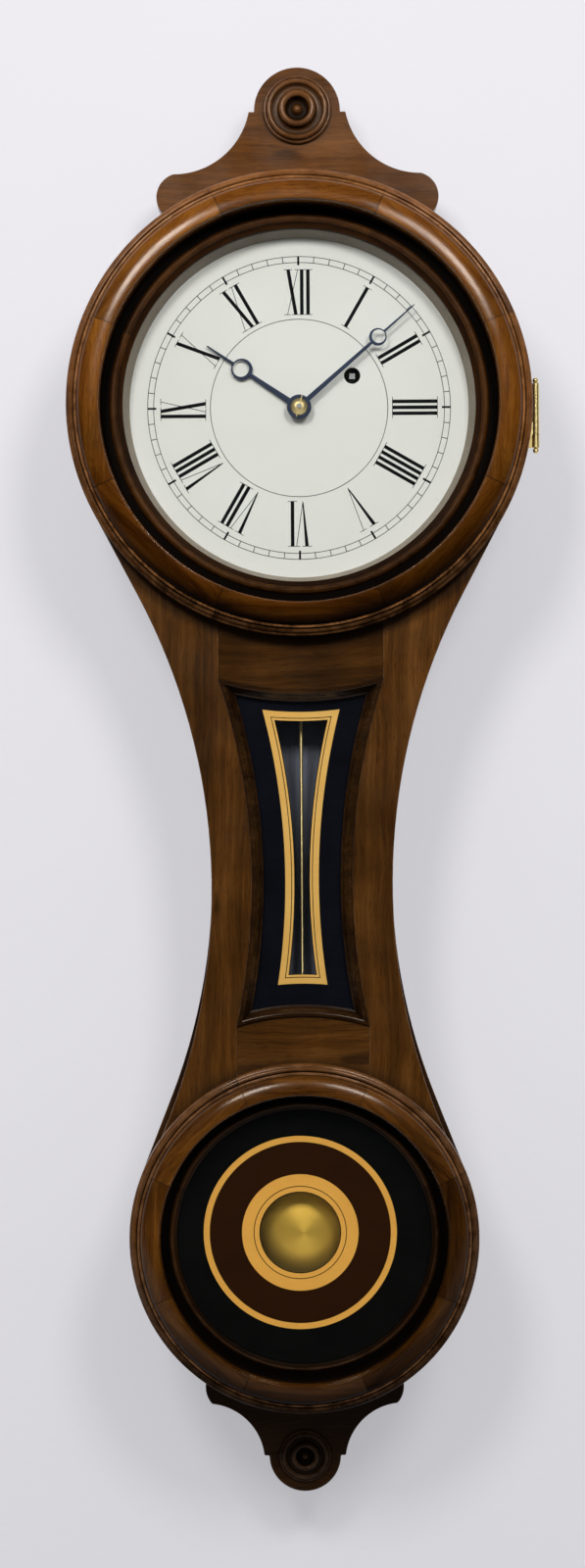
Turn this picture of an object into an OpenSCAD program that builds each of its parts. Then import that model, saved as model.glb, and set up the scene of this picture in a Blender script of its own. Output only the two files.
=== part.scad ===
// Wall regulator clock with a figure-eight case, a round door over the dial,
// a waist tablet and a round lower window in front of the pendulum bob.
// Millimetres, +Z up, the front faces -Y, the wall is the plane y = 0, and the
// origin is the centre of the hanger hole. Depths are counted from the wall.

/* [Case outline] */
// Outside radius of the upper ring
upper_r = 178; // [172:1:184]
// Outside radius of the lower ring
lower_r = 133.4; // [128:0.2:139]
// Distance between the centres of the two rings
ring_gap = 637; // [615:1:660]
// Height of the hanger hole above the dial's centre
hanger_up = 150; // [140:1:154]
// Half width of the waist at its narrowest
waist_hw = 69.5; // [66:0.5:74]
// Narrowest point of the waist below the dial's centre
waist_down = 369; // [350:1:390]
// Radius of the waist's front outline
waist_arc_r = 481; // [450:1:520]
// Radius of the waist's side boards, which flare wider than the front
side_arc_r = 460; // [430:1:500]

/* [Case depths] */
// Thickness of the backboard
back_t = 12; // [9:0.5:14]
// Distance from the wall to the front of the case, where the rings seat
case_depth = 108; // [106:0.5:112]
// Thickness of the waist's front frame
frame_t = 16; // [12:0.5:16]
// Thickness of the waist's side boards
side_t = 10; // [8:0.5:11]
// How far the drums stand in from the rings' outside
drum_inset = 2; // [1:0.5:3]
// Wall of the upper drum
upper_drum_t = 20; // [16:1:24]
// Wall of the lower drum
lower_drum_t = 18; // [14:1:22]
// Half width of the way through both drums into the waist
throat_hw = 58; // [54:0.5:59]

/* [Rings] */
// Width of the rim outside the half-round
rim_w = 8.5; // [7:0.25:10]
// Width of the upper ring's half-round
upper_torus_w = 16; // [14:0.5:18]
// Width of the lower ring's half-round
lower_torus_w = 14; // [12:0.5:16]
// Width of the sunk band inside the half-round
sunk_w = 8.2; // [6:0.2:10]
// Width of the upper ring's inner bead
upper_bead_w = 5.8; // [4:0.2:7]
// Width of the lower ring's inner bead
lower_bead_w = 2.6; // [2:0.2:4]
// Sloping lip between the upper bead and the glass
upper_lip_w = 4.2; // [3:0.2:6]
// Sloping lip between the lower bead and the glass
lower_lip_w = 2.4; // [2:0.2:4]
// Thickness of the rings at the glass, in front of the case
ring_lip_t = 3; // [2.6:0.1:4]
// How far the rim that holds the glass reaches back into the drum
ring_back_t = 5; // [4:0.25:6]
// Width of that rim
ring_back_w = 8; // [6:0.5:9]
// Thickness of the rings at the half-round's spring line
ring_spring_t = 19; // [17:0.5:21]
// How far the rings cover the glass
glass_cover = 4.6; // [3.5:0.2:6]
// Thickness of the glasses
glass_t = 2.5; // [2:0.25:3]
// Thickness of the strips that hold the round glasses
retainer_t = 3; // [2:0.25:4]

/* [Waist tablet] */
// Half width of the tablet opening at its narrowest
tablet_hw = 38.1; // [35:0.1:41]
// Radius of the opening's sides
tablet_side_r = 500; // [470:1:530]
// Narrowest point of the opening below the dial's centre
tablet_down = 365; // [350:1:380]
// Radius of the opening's top edge about the dial's centre
tablet_top_r = 218.5; // [212:0.5:225]
// Radius of the opening's bottom edge about the lower centre
tablet_bottom_r = 168.6; // [163:0.2:175]
// Width of the moulding round the tablet
moulding_w = 8.4; // [7:0.2:10]
// Height of the moulding in front of the case
moulding_proud = 2; // [1:0.25:3]
// Depth of the tablet glass behind the case's front
tablet_sink = 8.5; // [7:0.5:10]

/* [Crest and bracket] */
// Depth of the back of both boards
board_back = 30; // [20:1:34]
// Thickness of both boards
board_t = 22; // [18:1:26]
// Radius of the crest's lobe
crest_lobe_r = 33.8; // [31:0.2:36]
// Height of the crest's lobe above the dial's centre
crest_lobe_up = 239.5; // [234:0.5:242]
// Radius of the crest's coves
crest_cove_r = 60; // [57:0.5:62]
// Distance of the cove's centre from the middle
crest_cove_x = 97; // [95:0.5:99]
// Height of the cove's centre above the dial's centre
crest_cove_up = 250; // [248:0.5:253]
// Radius of the crest's ears
crest_ear_r = 19; // [17:0.5:21]
// Distance of the ears' centres from the middle
crest_ear_x = 92; // [89:0.5:95]
// Radius of the bracket's lobe
bracket_lobe_r = 28.1; // [26:0.1:30]
// Distance of the bracket's lobe below the lower centre
bracket_lobe_down = 181; // [178:1:184]
// Half width of the bracket above its lobe
bracket_neck_hw = 31.8; // [31:0.2:33]
// Radius of the bracket's coves
bracket_cove_r = 46; // [43:0.5:47]
// Radius of the bracket's ears
bracket_ear_r = 20; // [18:0.5:22]
// Distance of the ears' centres from the middle
bracket_ear_x = 58; // [55:0.5:60]
// Distance of the ears' centres below the lower centre
bracket_ear_down = 127; // [124:0.5:130]
// Radius of the upper rosette
top_rosette_r = 26.7; // [24:0.1:29]
// Radius of the lower rosette
bottom_rosette_r = 20.2; // [18:0.1:22]

/* [Hanger] */
// Radius of the hole that hangs on the wall hook
hanger_hole_r = 5; // [4:0.25:6]
// Thickness of the hanger plate
hanger_t = 2; // [1.5:0.25:3]
// Length of the hanger plate
hanger_w = 62; // [54:1:70]
// Height of the hanger plate
hanger_h = 24; // [22:1:28]
// Depth of the pocket behind the hanger plate
hanger_pocket = 7; // [5:0.5:8]

/* [Door hinge and catch] */
// Length of the hinge
hinge_l = 49.4; // [44:0.5:56]
// Height of the hinge's middle, from the dial's centre
hinge_z = -9.3; // [-14:0.5:-4]
// Radius of the knuckles
knuckle_r = 2.8; // [2.4:0.1:3.2]
// Radius of the hinge pin
hinge_pin_r = 1.2; // [1:0.1:1.5]
// Thickness of the leaves
leaf_t = 1.6; // [1.2:0.1:2]
// Width of each leaf
leaf_w = 15; // [12:0.5:16]
// Length of the catch stud
catch_l = 7; // [5:0.5:9]
// Radius of the catch stud
catch_r = 2.5; // [2:0.1:3]

/* [Dial and hands] */
// Depth of the dial's front
dial_front = 91.5; // [91:0.25:92]
// Thickness of the dial
dial_t = 1.5; // [1:0.25:2]
// How far the dial reaches outside the door's opening
dial_cover = 5.7; // [5:0.1:7]
// Height of the sloping rim round the dial, in front of it
dial_rim_h = 10.8; // [8:0.2:11]
// Radius of the winding hole
winding_hole_r = 6.3; // [5.5:0.1:7]
// Width of the board that carries the dial
dial_board_w = 30; // [24:1:34]
// Thickness of the board that carries the dial
dial_board_t = 5; // [4:0.5:5.5]
// Length of the minute hand
minute_l = 118.5; // [110:0.5:124]
// Radius at which the minute hand's ring sits
minute_ring_at = 81; // [76:0.5:86]
// Outside radius of the minute hand's ring
minute_ring_r = 6.8; // [6:0.1:8]
// Length of the hour hand
hour_l = 85.5; // [78:0.5:92]
// Radius at which the hour hand's ring sits
hour_ring_at = 53; // [48:0.5:57]
// Outside radius of the hour hand's ring
hour_ring_r = 8.3; // [7.5:0.1:9]
// Thickness of the hands
hand_t = 1.2; // [0.8:0.1:1.4]
// Angle of the minute hand past twelve
minute_angle = 48.8; // [0:0.1:52]
// Angle of the hour hand past twelve
hour_angle = 304; // [290:0.5:320]

/* [Movement plates] */
// Depth of the back plate's back
back_plate_d = 20; // [19:0.5:21]
// Thickness of both plates
plate_t = 3; // [2.5:0.25:3.25]
// Space between the plates
plate_gap = 38; // [38:0.25:39]
// Left edge of the plates
plate_left = -54; // [-58:1:-52]
// Right edge of the plates
plate_right = 88; // [86:1:94]
// Top edge of the plates
plate_top = 78; // [76:1:84]
// Bottom edge of the plates
plate_bottom = -34; // [-38:1:-33]
// Distance of the pillars from the plates' edges
pillar_inset = 8; // [7:0.5:9]
// Radius of the pillars
pillar_r = 4; // [3.5:0.25:4.5]
// Radius of the pillar screws
screw_r = 1.8; // [1.5:0.1:2]

/* [Train] */
// Module of the great wheel
great_m = 0.8; // [0.8:0.01:0.82]
// Angle of the winding arbor above the level
great_angle = 31; // [29:0.5:33]
// Module of the centre wheel
centre_m = 0.75; // [0.74:0.01:0.76]
// Module of the third wheel
third_m = 0.7; // [0.69:0.01:0.71]
// Module of the cannon pinion and the minute wheel
cannon_m = 0.625; // [0.625:0.001:0.64]
// Radius of the escape wheel
escape_r = 16; // [15.5:0.1:16.5]
// Height of the pallet arbor above the dial's centre
pallet_up = 60; // [58:0.5:62]
// Direction from the pallet arbor to the escape arbor
escape_angle = 235; // [233:0.5:238]
// Width of the pallets
pallet_w = 1; // [0.8:0.05:1.1]
// Radius of the pivots
pivot_r = 1; // [0.8:0.05:1.2]
// Radius of the slim arbors
arbor_r = 1.6; // [1.4:0.1:1.8]
// Radius of the winding arbor
winding_r = 3.2; // [3:0.1:3.4]
// Side of the winding square
winding_square = 4.4; // [4:0.1:4.5]
// Radius of the cord drum's core
drum_core_r = 11; // [10.5:0.1:11.5]
// Radial running clearance
run_fit = 0.05; // [0.03:0.01:0.08]

/* [Pendulum] */
// Depth of the pendulum rod
pendulum_d = 80; // [79.5:0.25:80.5]
// Radius of the pendulum rod
rod_r = 1.6; // [1.55:0.05:2.2]
// Radius of the bob
bob_r = 54; // [48:0.5:58]
// Thickness of the bob
bob_t = 26; // [20:0.5:28]
// Inside radius of the loop round the centre arbor
loop_r = 12; // [11:0.25:13]
// Thickness of the suspension spring
spring_t = 0.25; // [0.2:0.05:0.3]
// Radius of the rating nut
nut_r = 8; // [6:0.5:10]

/* [Weight] */
// Width of the weight
weight_w = 64; // [56:1:70]
// Thickness of the weight
weight_t = 30; // [26:1:32]
// Height of the weight
weight_h = 130; // [110:1:150]
// Depth of the weight's middle and of the cord
weight_d = 36.5; // [36:0.25:37]
// Distance of the pulley below the dial's centre
pulley_down = 110; // [106:1:130]
// Radius of the cord's path round the pulley
pulley_r = 20; // [18:0.5:21]
// Radius of the cord
cord_r = 0.9; // [0.7:0.05:1]

/* [Hidden] */
$fn = 96;
big_fn = 360;

// Colours
walnut = "#6b4322";
walnut_dark = "#3a2313";
brass = "#c9a94f";
iron = "#4a4d52";
blued = "#28344c";
clear = "#dfe8ea";

// Case
upper_drum_r = upper_r - drum_inset;
lower_drum_r = lower_r - drum_inset;
upper_space_r = upper_drum_r - upper_drum_t;
lower_space_r = lower_drum_r - lower_drum_t;
frame_back = case_depth - frame_t;
upper_sight_r = upper_r - rim_w - upper_torus_w - sunk_w - upper_bead_w - upper_lip_w;
lower_sight_r = lower_r - rim_w - lower_torus_w - sunk_w - lower_bead_w - lower_lip_w;
side_down = waist_down - 7;
dial_r = upper_sight_r + dial_cover;
wide = 4 / 3 * upper_r;
board_front = board_back + board_t;
seat_gap = 0.1;

// Hinge
hinge_x = upper_r + knuckle_r + 0.3;
leaf_end = hinge_x - knuckle_r - 0.3;
knuckles = 5;
knuckle_l = hinge_l / knuckles;
knuckle_gap = 0.15;
catch_x = -(upper_space_r + upper_drum_t / 2);

// Movement depths
inner_back = back_plate_d + plate_t;
front_plate_d = inner_back + plate_gap;
plate_front = front_plate_d + plate_t;
shake = 0.3;
escape_d = inner_back + 3;
escape_t = 1.6;
anchor_d = inner_back + 1.5;
anchor_t = 4.6;
third_d = inner_back + 8;
train_t = 2;
drum_d = inner_back + 5;
flange_t = 1.5;
drum_l = 18;
ratchet_t = 1.2;
great_t = 3;
great_d = drum_d + drum_l + ratchet_t + shake;
centre_d = front_plate_d - 7;
motion_d = plate_front + 2;
cannon_t = 3.4;
hour_wheel_d = motion_d + cannon_t + 0.6;
hour_hand_d = dial_front + 2;
minute_hand_d = hour_hand_d + hand_t + 3.3;
collet_t = 2.4;

// Wheel counts and places, from the dial's centre
great_teeth = 112;
centre_teeth = 72;
third_teeth = 64;
escape_teeth = 30;
leaves = 8;
minute_teeth = 36;
cannon_leaves = 12;
hour_teeth = 40;
minute_leaves = 10;
hour_m = cannon_m * (minute_teeth + cannon_leaves) / (hour_teeth + minute_leaves);
great_at = great_m * (great_teeth + leaves) / 2 * [cos(great_angle), sin(great_angle)];
pallet_at = [0, pallet_up];
escape_reach = escape_r * sqrt(2);
escape_at = pallet_at + escape_reach * [cos(escape_angle), sin(escape_angle)];
third_at = meet([0, 0], centre_m * (centre_teeth + leaves) / 2,
                escape_at, third_m * (third_teeth + leaves) / 2, 1);
minute_dir = 225;
minute_at = cannon_m * (minute_teeth + cannon_leaves) / 2 * [cos(minute_dir), sin(minute_dir)];
centre_arbor_r = 2.5;
centre_core_r = great_m * (leaves / 2 - 1.6);
cannon_bore_r = 2;
cannon_pipe_r = 3.2;
hour_pipe_r = 4.5;
tip_r = 1.8;
post_r = 1.5;
dial_centre_r = hour_pipe_r + 1.2;

// Pendulum and weight
bob_at = [0, -ring_gap];
drum_cord_r = drum_core_r + cord_r + run_fit;
pulley_at = [great_at.x - drum_cord_r - pulley_r, -pulley_down];
anchor_pin_r = 1.2;
anchor_pin_at = [pulley_at.x - pulley_r, 28.5];
weight_top = -pulley_down - pulley_r - 26;
rod_play = 0.25;

// Point where two circles meet, on the left of the line between their centres
// when side is 1, and on the right when it is -1
function meet(c1, r1, c2, r2, side) =
    let (d = norm(c2 - c1), u = (c2 - c1) / d)
    let (p = (r1 * r1 - r2 * r2 + d * d) / (2 * d), h = sqrt(r1 * r1 - p * p))
    c1 + p * u + side * h * [-u.y, u.x];

function flip(p) = [-p.x, p.y];

// Points of the straight line that touches both a waist arc and a ring, from the
// ring to the arc, or the one point where the two meet if they overlap
function run_in(arc_r, arc_at, ring, ring_at, side) =
    let (gap = arc_at - ring_at, reach = (arc_r + ring) / norm(gap))
    reach >= 1 ? [meet(arc_at, arc_r, ring_at, ring, side)] :
    let (a = atan2(gap.y, gap.x) + side * acos(reach), u = [cos(a), sin(a)])
    [ring_at + ring * u, arc_at - arc_r * u];

function last(list) = list[len(list) - 1];
function backwards(list) = [for (i = [len(list) - 1:-1:0]) list[i]];

// Placing helpers: outlines are drawn from the front, as x and z
module at_upper() translate([0, 0, -hanger_up]) children();
module at_lower() translate([0, 0, -hanger_up - ring_gap]) children();
module at(p) translate([p.x, 0, p.y]) children();
module slab(depth, thick) translate([0, -depth, 0]) rotate([90, 0, 0]) linear_extrude(thick) children();
module turned() rotate([90, 0, 0]) rotate_extrude() children();
module spindle(r, from, to) translate([0, -from, 0]) rotate([90, 0, 0]) cylinder(r = r, h = to - from);
module tube(r, bore, from, to) difference() {
    spindle(r, from, to);
    spindle(bore, from - 1, to + 1);
}
module disc_at(p, r) translate(p) circle(r = r);
module both_sides() {
    children();
    mirror([1, 0, 0]) children();
}

// Outline of a waist between the two rings, with straight ends that touch them
module waist_outline(arc_r, down, upper_touch, lower_touch) {
    arc_at = [waist_hw + arc_r, -down];
    low = run_in(arc_r, arc_at, lower_touch, [0, -ring_gap], -1);
    up = run_in(arc_r, arc_at, upper_touch, [0, 0], 1);
    edge = concat(low, backwards(up));
    difference() {
        polygon(concat(edge, [for (p = backwards(edge)) flip(p)]));
        for (s = [-1, 1]) intersection() {
            translate([s * arc_at.x, arc_at.y]) circle(r = arc_r, $fn = big_fn);
            waist_sector([for (p = [arc_at, 1.05 * last(up) - 0.05 * arc_at, [0, -down], 1.05 * last(low) - 0.05 * arc_at])
                [s * p.x, p.y]], s);
        }
    }
}
module waist_sector(points, s) polygon(s > 0 ? points : backwards(points));

module frame_outline() waist_outline(waist_arc_r, waist_down, upper_r, lower_r);
module side_outline() waist_outline(side_arc_r, side_down, upper_drum_r + 0.5, lower_r);

module both_drums(upper, lower) {
    circle(r = upper, $fn = big_fn);
    translate([0, -ring_gap]) circle(r = lower, $fn = big_fn);
}

// Tablet opening, moved inwards by inset
module tablet_outline(inset) difference() {
    translate([-wide / 2, 0.9 * tablet_bottom_r - ring_gap])
        square([wide, ring_gap - 0.9 * (tablet_top_r + tablet_bottom_r)]);
    both_drums(tablet_top_r + inset, tablet_bottom_r + inset);
    both_sides() translate([tablet_hw + tablet_side_r, -tablet_down])
        circle(r = tablet_side_r + inset, $fn = big_fn);
}

// Corners of the tablet opening on the right
function tablet_top(inset) = meet([0, 0], tablet_top_r + inset,
    [tablet_hw + tablet_side_r, -tablet_down], tablet_side_r + inset, -1);
function tablet_bottom(inset) = meet([0, -ring_gap], tablet_bottom_r + inset,
    [tablet_hw + tablet_side_r, -tablet_down], tablet_side_r + inset, 1);

// Round case parts
module case_outline() {
    side_outline();
    both_drums(upper_drum_r, lower_drum_r);
}

module hanger_screw_places() for (x = [-1, 1]) translate([x * (hanger_w / 2 - 7), 0, 0]) children();

module backboard() color(walnut_dark) difference() {
    at_upper() slab(0, back_t) case_outline();
    slab(-1, hanger_t + 1) square([hanger_w, hanger_h], center = true);
    slab(-1, hanger_t + hanger_pocket + 1) square([hanger_h - 2, hanger_h - 4], center = true);
    hanger_screw_places() spindle(1.5, 0, 10);
}

module upper_drum() color(walnut_dark) at_upper() difference() {
    turned() translate([upper_space_r, back_t]) square([upper_drum_t, case_depth - back_t]);
    slab(back_t - 1, frame_back - back_t + 1) translate([-throat_hw, -upper_r]) square([2 * throat_hw, upper_r]);
    translate([leaf_end - leaf_w, -case_depth - 1, hinge_z - hinge_l / 2 - seat_gap])
        cube([leaf_w + 20, leaf_t + 1, hinge_l + 2 * seat_gap]);
    at([catch_x, 0]) spindle(catch_r + 0.5, case_depth - catch_l - 1, case_depth + 1);
}

module lower_drum() color(walnut_dark) at_lower() difference() {
    turned() translate([lower_space_r, back_t]) square([lower_drum_t, case_depth - back_t]);
    slab(back_t - 1, frame_back - back_t + 1) translate([-throat_hw, 0]) square([2 * throat_hw, lower_r]);
}

module waist_side() at_upper() slab(back_t, frame_back - back_t) difference() {
    intersection() {
        side_outline();
        translate([waist_hw + side_arc_r, -side_down]) circle(r = side_arc_r + side_t, $fn = big_fn);
    }
    both_drums(upper_drum_r, lower_drum_r);
}
module waist_side_right() color(walnut_dark) waist_side();
module waist_side_left() color(walnut_dark) mirror([1, 0, 0]) waist_side();

// Front frame of the waist: two upright stiles and two shaped rails
module front_frame() difference() {
    frame_outline();
    both_drums(upper_drum_r, lower_drum_r);
    tablet_outline(0);
}

// Part of the frame that a rail fills, from the opening's corners to a ring: its
// point is further into the opening than the tangents at the corners reach
module rail_zone(corner, s, arc_up) {
    far = corner.y + s * wide / 2;
    dip = 1.3 * corner.x * corner.x / abs(corner.y - arc_up);
    half = [[corner.x, corner.y], [corner.x, far], [-corner.x, far], [-corner.x, corner.y],
            [0, corner.y - s * dip]];
    polygon(s > 0 ? half : backwards(half));
}
module top_zone() rail_zone(tablet_top(0), 1, 0);
module bottom_zone() rail_zone(tablet_bottom(0), -1, -ring_gap);

module stile() at_upper() slab(frame_back, frame_t) difference() {
    front_frame();
    translate([-wide, -ring_gap]) square([wide + 1, ring_gap]);
    top_zone();
    bottom_zone();
}
module stile_right() color(walnut) stile();
module stile_left() color(walnut) mirror([1, 0, 0]) stile();

module top_rail() color(walnut) at_upper() slab(frame_back, frame_t) intersection() {
    front_frame();
    top_zone();
}

module bottom_rail() color(walnut) at_upper() slab(frame_back, frame_t) intersection() {
    front_frame();
    bottom_zone();
}

// Moulding round the tablet: four bent lengths with one profile, mitred at the corners
module moulding_profile(inner_r) {
    front = case_depth + moulding_proud;
    back = case_depth - tablet_sink;
    translate([inner_r, 0]) polygon([
        [0, back], [moulding_w, back], [moulding_w, back + 2], [moulding_w - 1.2, back + 2.6],
        [moulding_w - 1.8, back + 4.2], [moulding_w - 3.2, back + 6.4], [3.6, front - 1.6],
        [3.1, front - 0.9], [3.1, front - 0.2], [2.6, front], [0.6, front], [0, front - 0.5]
    ]);
}

module mitre_zone(points) slab(case_depth - tablet_sink - 5, 30) polygon(points);

function past(inner, outer) = inner + 3 * (outer - inner);

module tablet_moulding() color(walnut_dark) at_upper() {
    in_top = tablet_top(moulding_w);
    in_low = tablet_bottom(moulding_w);
    out_top = past(in_top, tablet_top(0));
    out_low = past(in_low, tablet_bottom(0));
    both_sides() intersection() {
        at([tablet_hw + tablet_side_r, -tablet_down]) turned($fn = big_fn) moulding_profile(tablet_side_r);
        mitre_zone([in_low, out_low, [wide / 2, out_low.y], [wide / 2, out_top.y], out_top, in_top, [0, -tablet_down]]);
    }
    intersection() {
        turned($fn = big_fn) moulding_profile(tablet_top_r);
        mitre_zone([in_top, out_top, [out_top.x, 0], [-out_top.x, 0], flip(out_top), flip(in_top), [0, in_top.y - 15]]);
    }
    intersection() {
        at([0, -ring_gap]) turned($fn = big_fn) moulding_profile(tablet_bottom_r);
        mitre_zone([in_low, [0, in_low.y + 15], flip(in_low), flip(out_low), [-out_low.x, -ring_gap],
            [out_low.x, -ring_gap], out_low]);
    }
}

module waist_glass() color(clear, 0.4) at_upper()
    slab(case_depth - tablet_sink - glass_t, glass_t) tablet_outline(0.5);

// Turned rings: rim with a bead, half-round, sunk band, inner bead and lip
module ring_profile(r, torus_w, bead_w, lip_w) {
    torus_r = r - rim_w;
    sunk_r = torus_r - torus_w;
    bead_r = sunk_r - sunk_w;
    lip_r = bead_r - bead_w;
    sight = lip_r - lip_w;
    difference() {
        union() {
            polygon([
                [sight, case_depth], [r, case_depth], [r, case_depth + 12.5],
                [r - 0.7, case_depth + 14.2], [r - 2, case_depth + 15],
                [r - 6.1, case_depth + 15], [r - 6.1, case_depth + ring_spring_t - 0.6],
                [r - 6.7, case_depth + ring_spring_t], [sunk_r, case_depth + ring_spring_t],
                [sunk_r, case_depth + ring_lip_t], [lip_r, case_depth + ring_lip_t],
                [sight, case_depth + ring_lip_t - 1.6]
            ]);
            disc_at([r - 4.05, case_depth + 15.2], 2);
            disc_at([torus_r - torus_w / 2, case_depth + ring_spring_t], torus_w / 2);
            disc_at([bead_r - bead_w / 2, case_depth + ring_lip_t], bead_w / 2);
            translate([sight, case_depth - ring_back_t])
                square([glass_cover + ring_back_w, ring_back_t + 1]);
        }
        translate([0, case_depth - ring_back_t - 1])
            square([sight + glass_cover, ring_back_t + ring_lip_t - 1.5]);
    }
}

module upper_ring_profile() ring_profile(upper_r, upper_torus_w, upper_bead_w, upper_lip_w);
module lower_ring_profile() ring_profile(lower_r, lower_torus_w, lower_bead_w, lower_lip_w);

module lower_ring() color(walnut) at_lower() turned() lower_ring_profile();

module door_ring() color(walnut) at_upper() difference() {
    turned() upper_ring_profile();
    translate([leaf_end - leaf_w, -case_depth - leaf_t, hinge_z - hinge_l / 2 - seat_gap])
        cube([leaf_w + 20, leaf_t + 1, hinge_l + 2 * seat_gap]);
    at([catch_x, 0]) slab(case_depth - 1, 2.2) square([10, 30], center = true);
}

glass_back = case_depth + ring_lip_t - 2.5 - glass_t;

module round_glass(sight) spindle(sight + glass_cover - 0.2, glass_back, glass_back + glass_t);
module round_retainer(sight) tube(sight + glass_cover, sight + 0.6, glass_back - retainer_t, glass_back);

module door_glass() color(clear, 0.4) at_upper() round_glass(upper_sight_r);
module lower_glass() color(clear, 0.4) at_lower() round_glass(lower_sight_r);
module door_glass_retainer() color(walnut_dark) at_upper() round_retainer(upper_sight_r);
module lower_glass_retainer() color(walnut_dark) at_lower() round_retainer(lower_sight_r);

// Shaped boards above and below the rings
module crest_board() color(walnut) at_upper() slab(board_back, board_t) difference() {
    union() {
        disc_at([0, crest_lobe_up], crest_lobe_r);
        translate([3 - crest_ear_x, upper_r / 2])
            square([2 * crest_ear_x - 6, crest_lobe_up - upper_r / 2 - 1]);
        for (s = [-1, 1])
            disc_at([s * crest_ear_x, crest_cove_up - crest_cove_r - crest_ear_r + 0.8], crest_ear_r);
    }
    for (s = [-1, 1]) disc_at([s * crest_cove_x, crest_cove_up], crest_cove_r);
    circle(r = upper_drum_r, $fn = big_fn);
}

module bottom_bracket() color(walnut_dark) at_lower() slab(board_back, board_t) difference() {
    cove_x = bracket_neck_hw + bracket_cove_r;
    cove_down = bracket_lobe_down + 5;
    union() {
        disc_at([0, -bracket_lobe_down], bracket_lobe_r);
        translate([3 - bracket_ear_x, -bracket_lobe_down])
            square([2 * bracket_ear_x - 6, bracket_lobe_down - lower_r / 2]);
        for (s = [-1, 1]) disc_at([s * bracket_ear_x, -bracket_ear_down], bracket_ear_r);
    }
    for (s = [-1, 1]) disc_at([s * cove_x, -cove_down], bracket_cove_r);
    circle(r = lower_drum_r, $fn = big_fn);
}

module rosette_profile(r) {
    k = r / 26.7;
    intersection() {
        square([r, r]);
        union() {
            polygon(k * [
                [0, 0], [26.7, 0], [26.7, 2], [24, 2.6], [20.4, 4.6], [17.6, 3.1], [14.4, 3.4],
                [13.6, 6.5], [10, 6.5], [9, 2.4], [0, 1.8]
            ]);
            disc_at(k * [25.4, 2], k * 1.3);
            disc_at(k * [22, 3.6], k * 2.1);
            disc_at(k * [11.9, 6.3], k * 2.4);
            disc_at(k * [0, 1.6], k * 2.4);
        }
    }
}

module top_rosette() color(walnut) at_upper() translate([0, -board_front, crest_lobe_up])
    turned() rosette_profile(top_rosette_r);
module bottom_rosette() color(walnut_dark) at_lower() translate([0, -board_front, -bracket_lobe_down])
    turned() rosette_profile(bottom_rosette_r);

// Hanger
module hanger_plate() color(iron) difference() {
    slab(0, hanger_t) square([hanger_w, hanger_h], center = true);
    spindle(hanger_hole_r, -1, hanger_t + 1);
    hanger_screw_places() {
        spindle(1.7, -1, hanger_t + 1);
        spindle(3.3, -1, 1);
    }
}

module hanger_screws() color(iron) hanger_screw_places() {
    spindle(1.5, 0.9, 10);
    spindle(3.1, 0.1, 1);
}

// Dial
dial_screw_at = dial_r - 2.8;

module dial_screw_places() for (a = [45:90:315]) at(dial_screw_at * [cos(a), sin(a)]) children();

module dial_board() color(walnut_dark) at_upper() difference() {
    tube(upper_space_r, upper_space_r - dial_board_w, dial_front - dial_t - dial_board_t, dial_front - dial_t);
    dial_screw_places() spindle(0.8, dial_front - dial_t - dial_board_t + 1, dial_front);
}

module dial_plate() color("#e8e9e4") at_upper() {
    difference() {
        spindle(dial_r, dial_front - dial_t, dial_front);
        spindle(dial_centre_r, dial_front - dial_t - 1, dial_front + 1);
        at(great_at) spindle(winding_hole_r, dial_front - dial_t - 1, dial_front + 1);
        dial_screw_places() spindle(1, dial_front - dial_t - 1, dial_front + 1);
    }
    turned() polygon([
        [upper_sight_r - 4, dial_front - 0.2], [upper_sight_r - 2.6, dial_front - 0.2],
        [upper_sight_r + 1.6, dial_front + dial_rim_h], [upper_sight_r + 0.6, dial_front + dial_rim_h]
    ]);
}

module dial_screws() color(brass) at_upper() dial_screw_places() {
    spindle(0.8, dial_front - dial_t - dial_board_t + 1, dial_front);
    spindle(1.7, dial_front, dial_front + 0.9);
}

// Movement plates
pillar_places = [
    [plate_left + pillar_inset, plate_bottom + pillar_inset],
    [plate_right - pillar_inset, plate_bottom + pillar_inset],
    [plate_left + pillar_inset, plate_top - pillar_inset],
    [plate_right - pillar_inset, plate_top - pillar_inset]
];

module plate_outline() {
    for (p = pillar_places) disc_at(p, pillar_inset);
    translate([plate_left + pillar_inset, plate_bottom])
        square([plate_right - plate_left - 2 * pillar_inset, plate_top - plate_bottom]);
    translate([plate_left, plate_bottom + pillar_inset])
        square([plate_right - plate_left, plate_top - plate_bottom - 2 * pillar_inset]);
}

module pivot_hole(p, r, from) at(p) spindle(r + run_fit, from - 1, from + plate_t + 1);

module back_plate() color(brass) at_upper() difference() {
    slab(back_plate_d, plate_t) plate_outline();
    for (p = pillar_places) pivot_hole(p, pillar_r - 1, back_plate_d);
    for (p = [[0, 0], third_at, escape_at, pallet_at]) pivot_hole(p, pivot_r, back_plate_d);
    pivot_hole(great_at, pivot_r + 1, back_plate_d);
}

module front_plate() color(brass) at_upper() {
    difference() {
        slab(front_plate_d, plate_t) plate_outline();
        for (p = pillar_places) pivot_hole(p, screw_r, front_plate_d);
        for (p = [third_at, escape_at, pallet_at]) pivot_hole(p, pivot_r, front_plate_d);
        pivot_hole([0, 0], centre_arbor_r, front_plate_d);
        pivot_hole(great_at, winding_r, front_plate_d);
        pivot_hole(anchor_pin_at, anchor_pin_r - run_fit, front_plate_d);
        for (x = [-1, 1]) pivot_hole([x * cock_screw_x, cock_screw_z], screw_r - 0.3, front_plate_d);
    }
    at(minute_at) spindle(post_r, plate_front, hour_wheel_d + 4.4);
}

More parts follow.
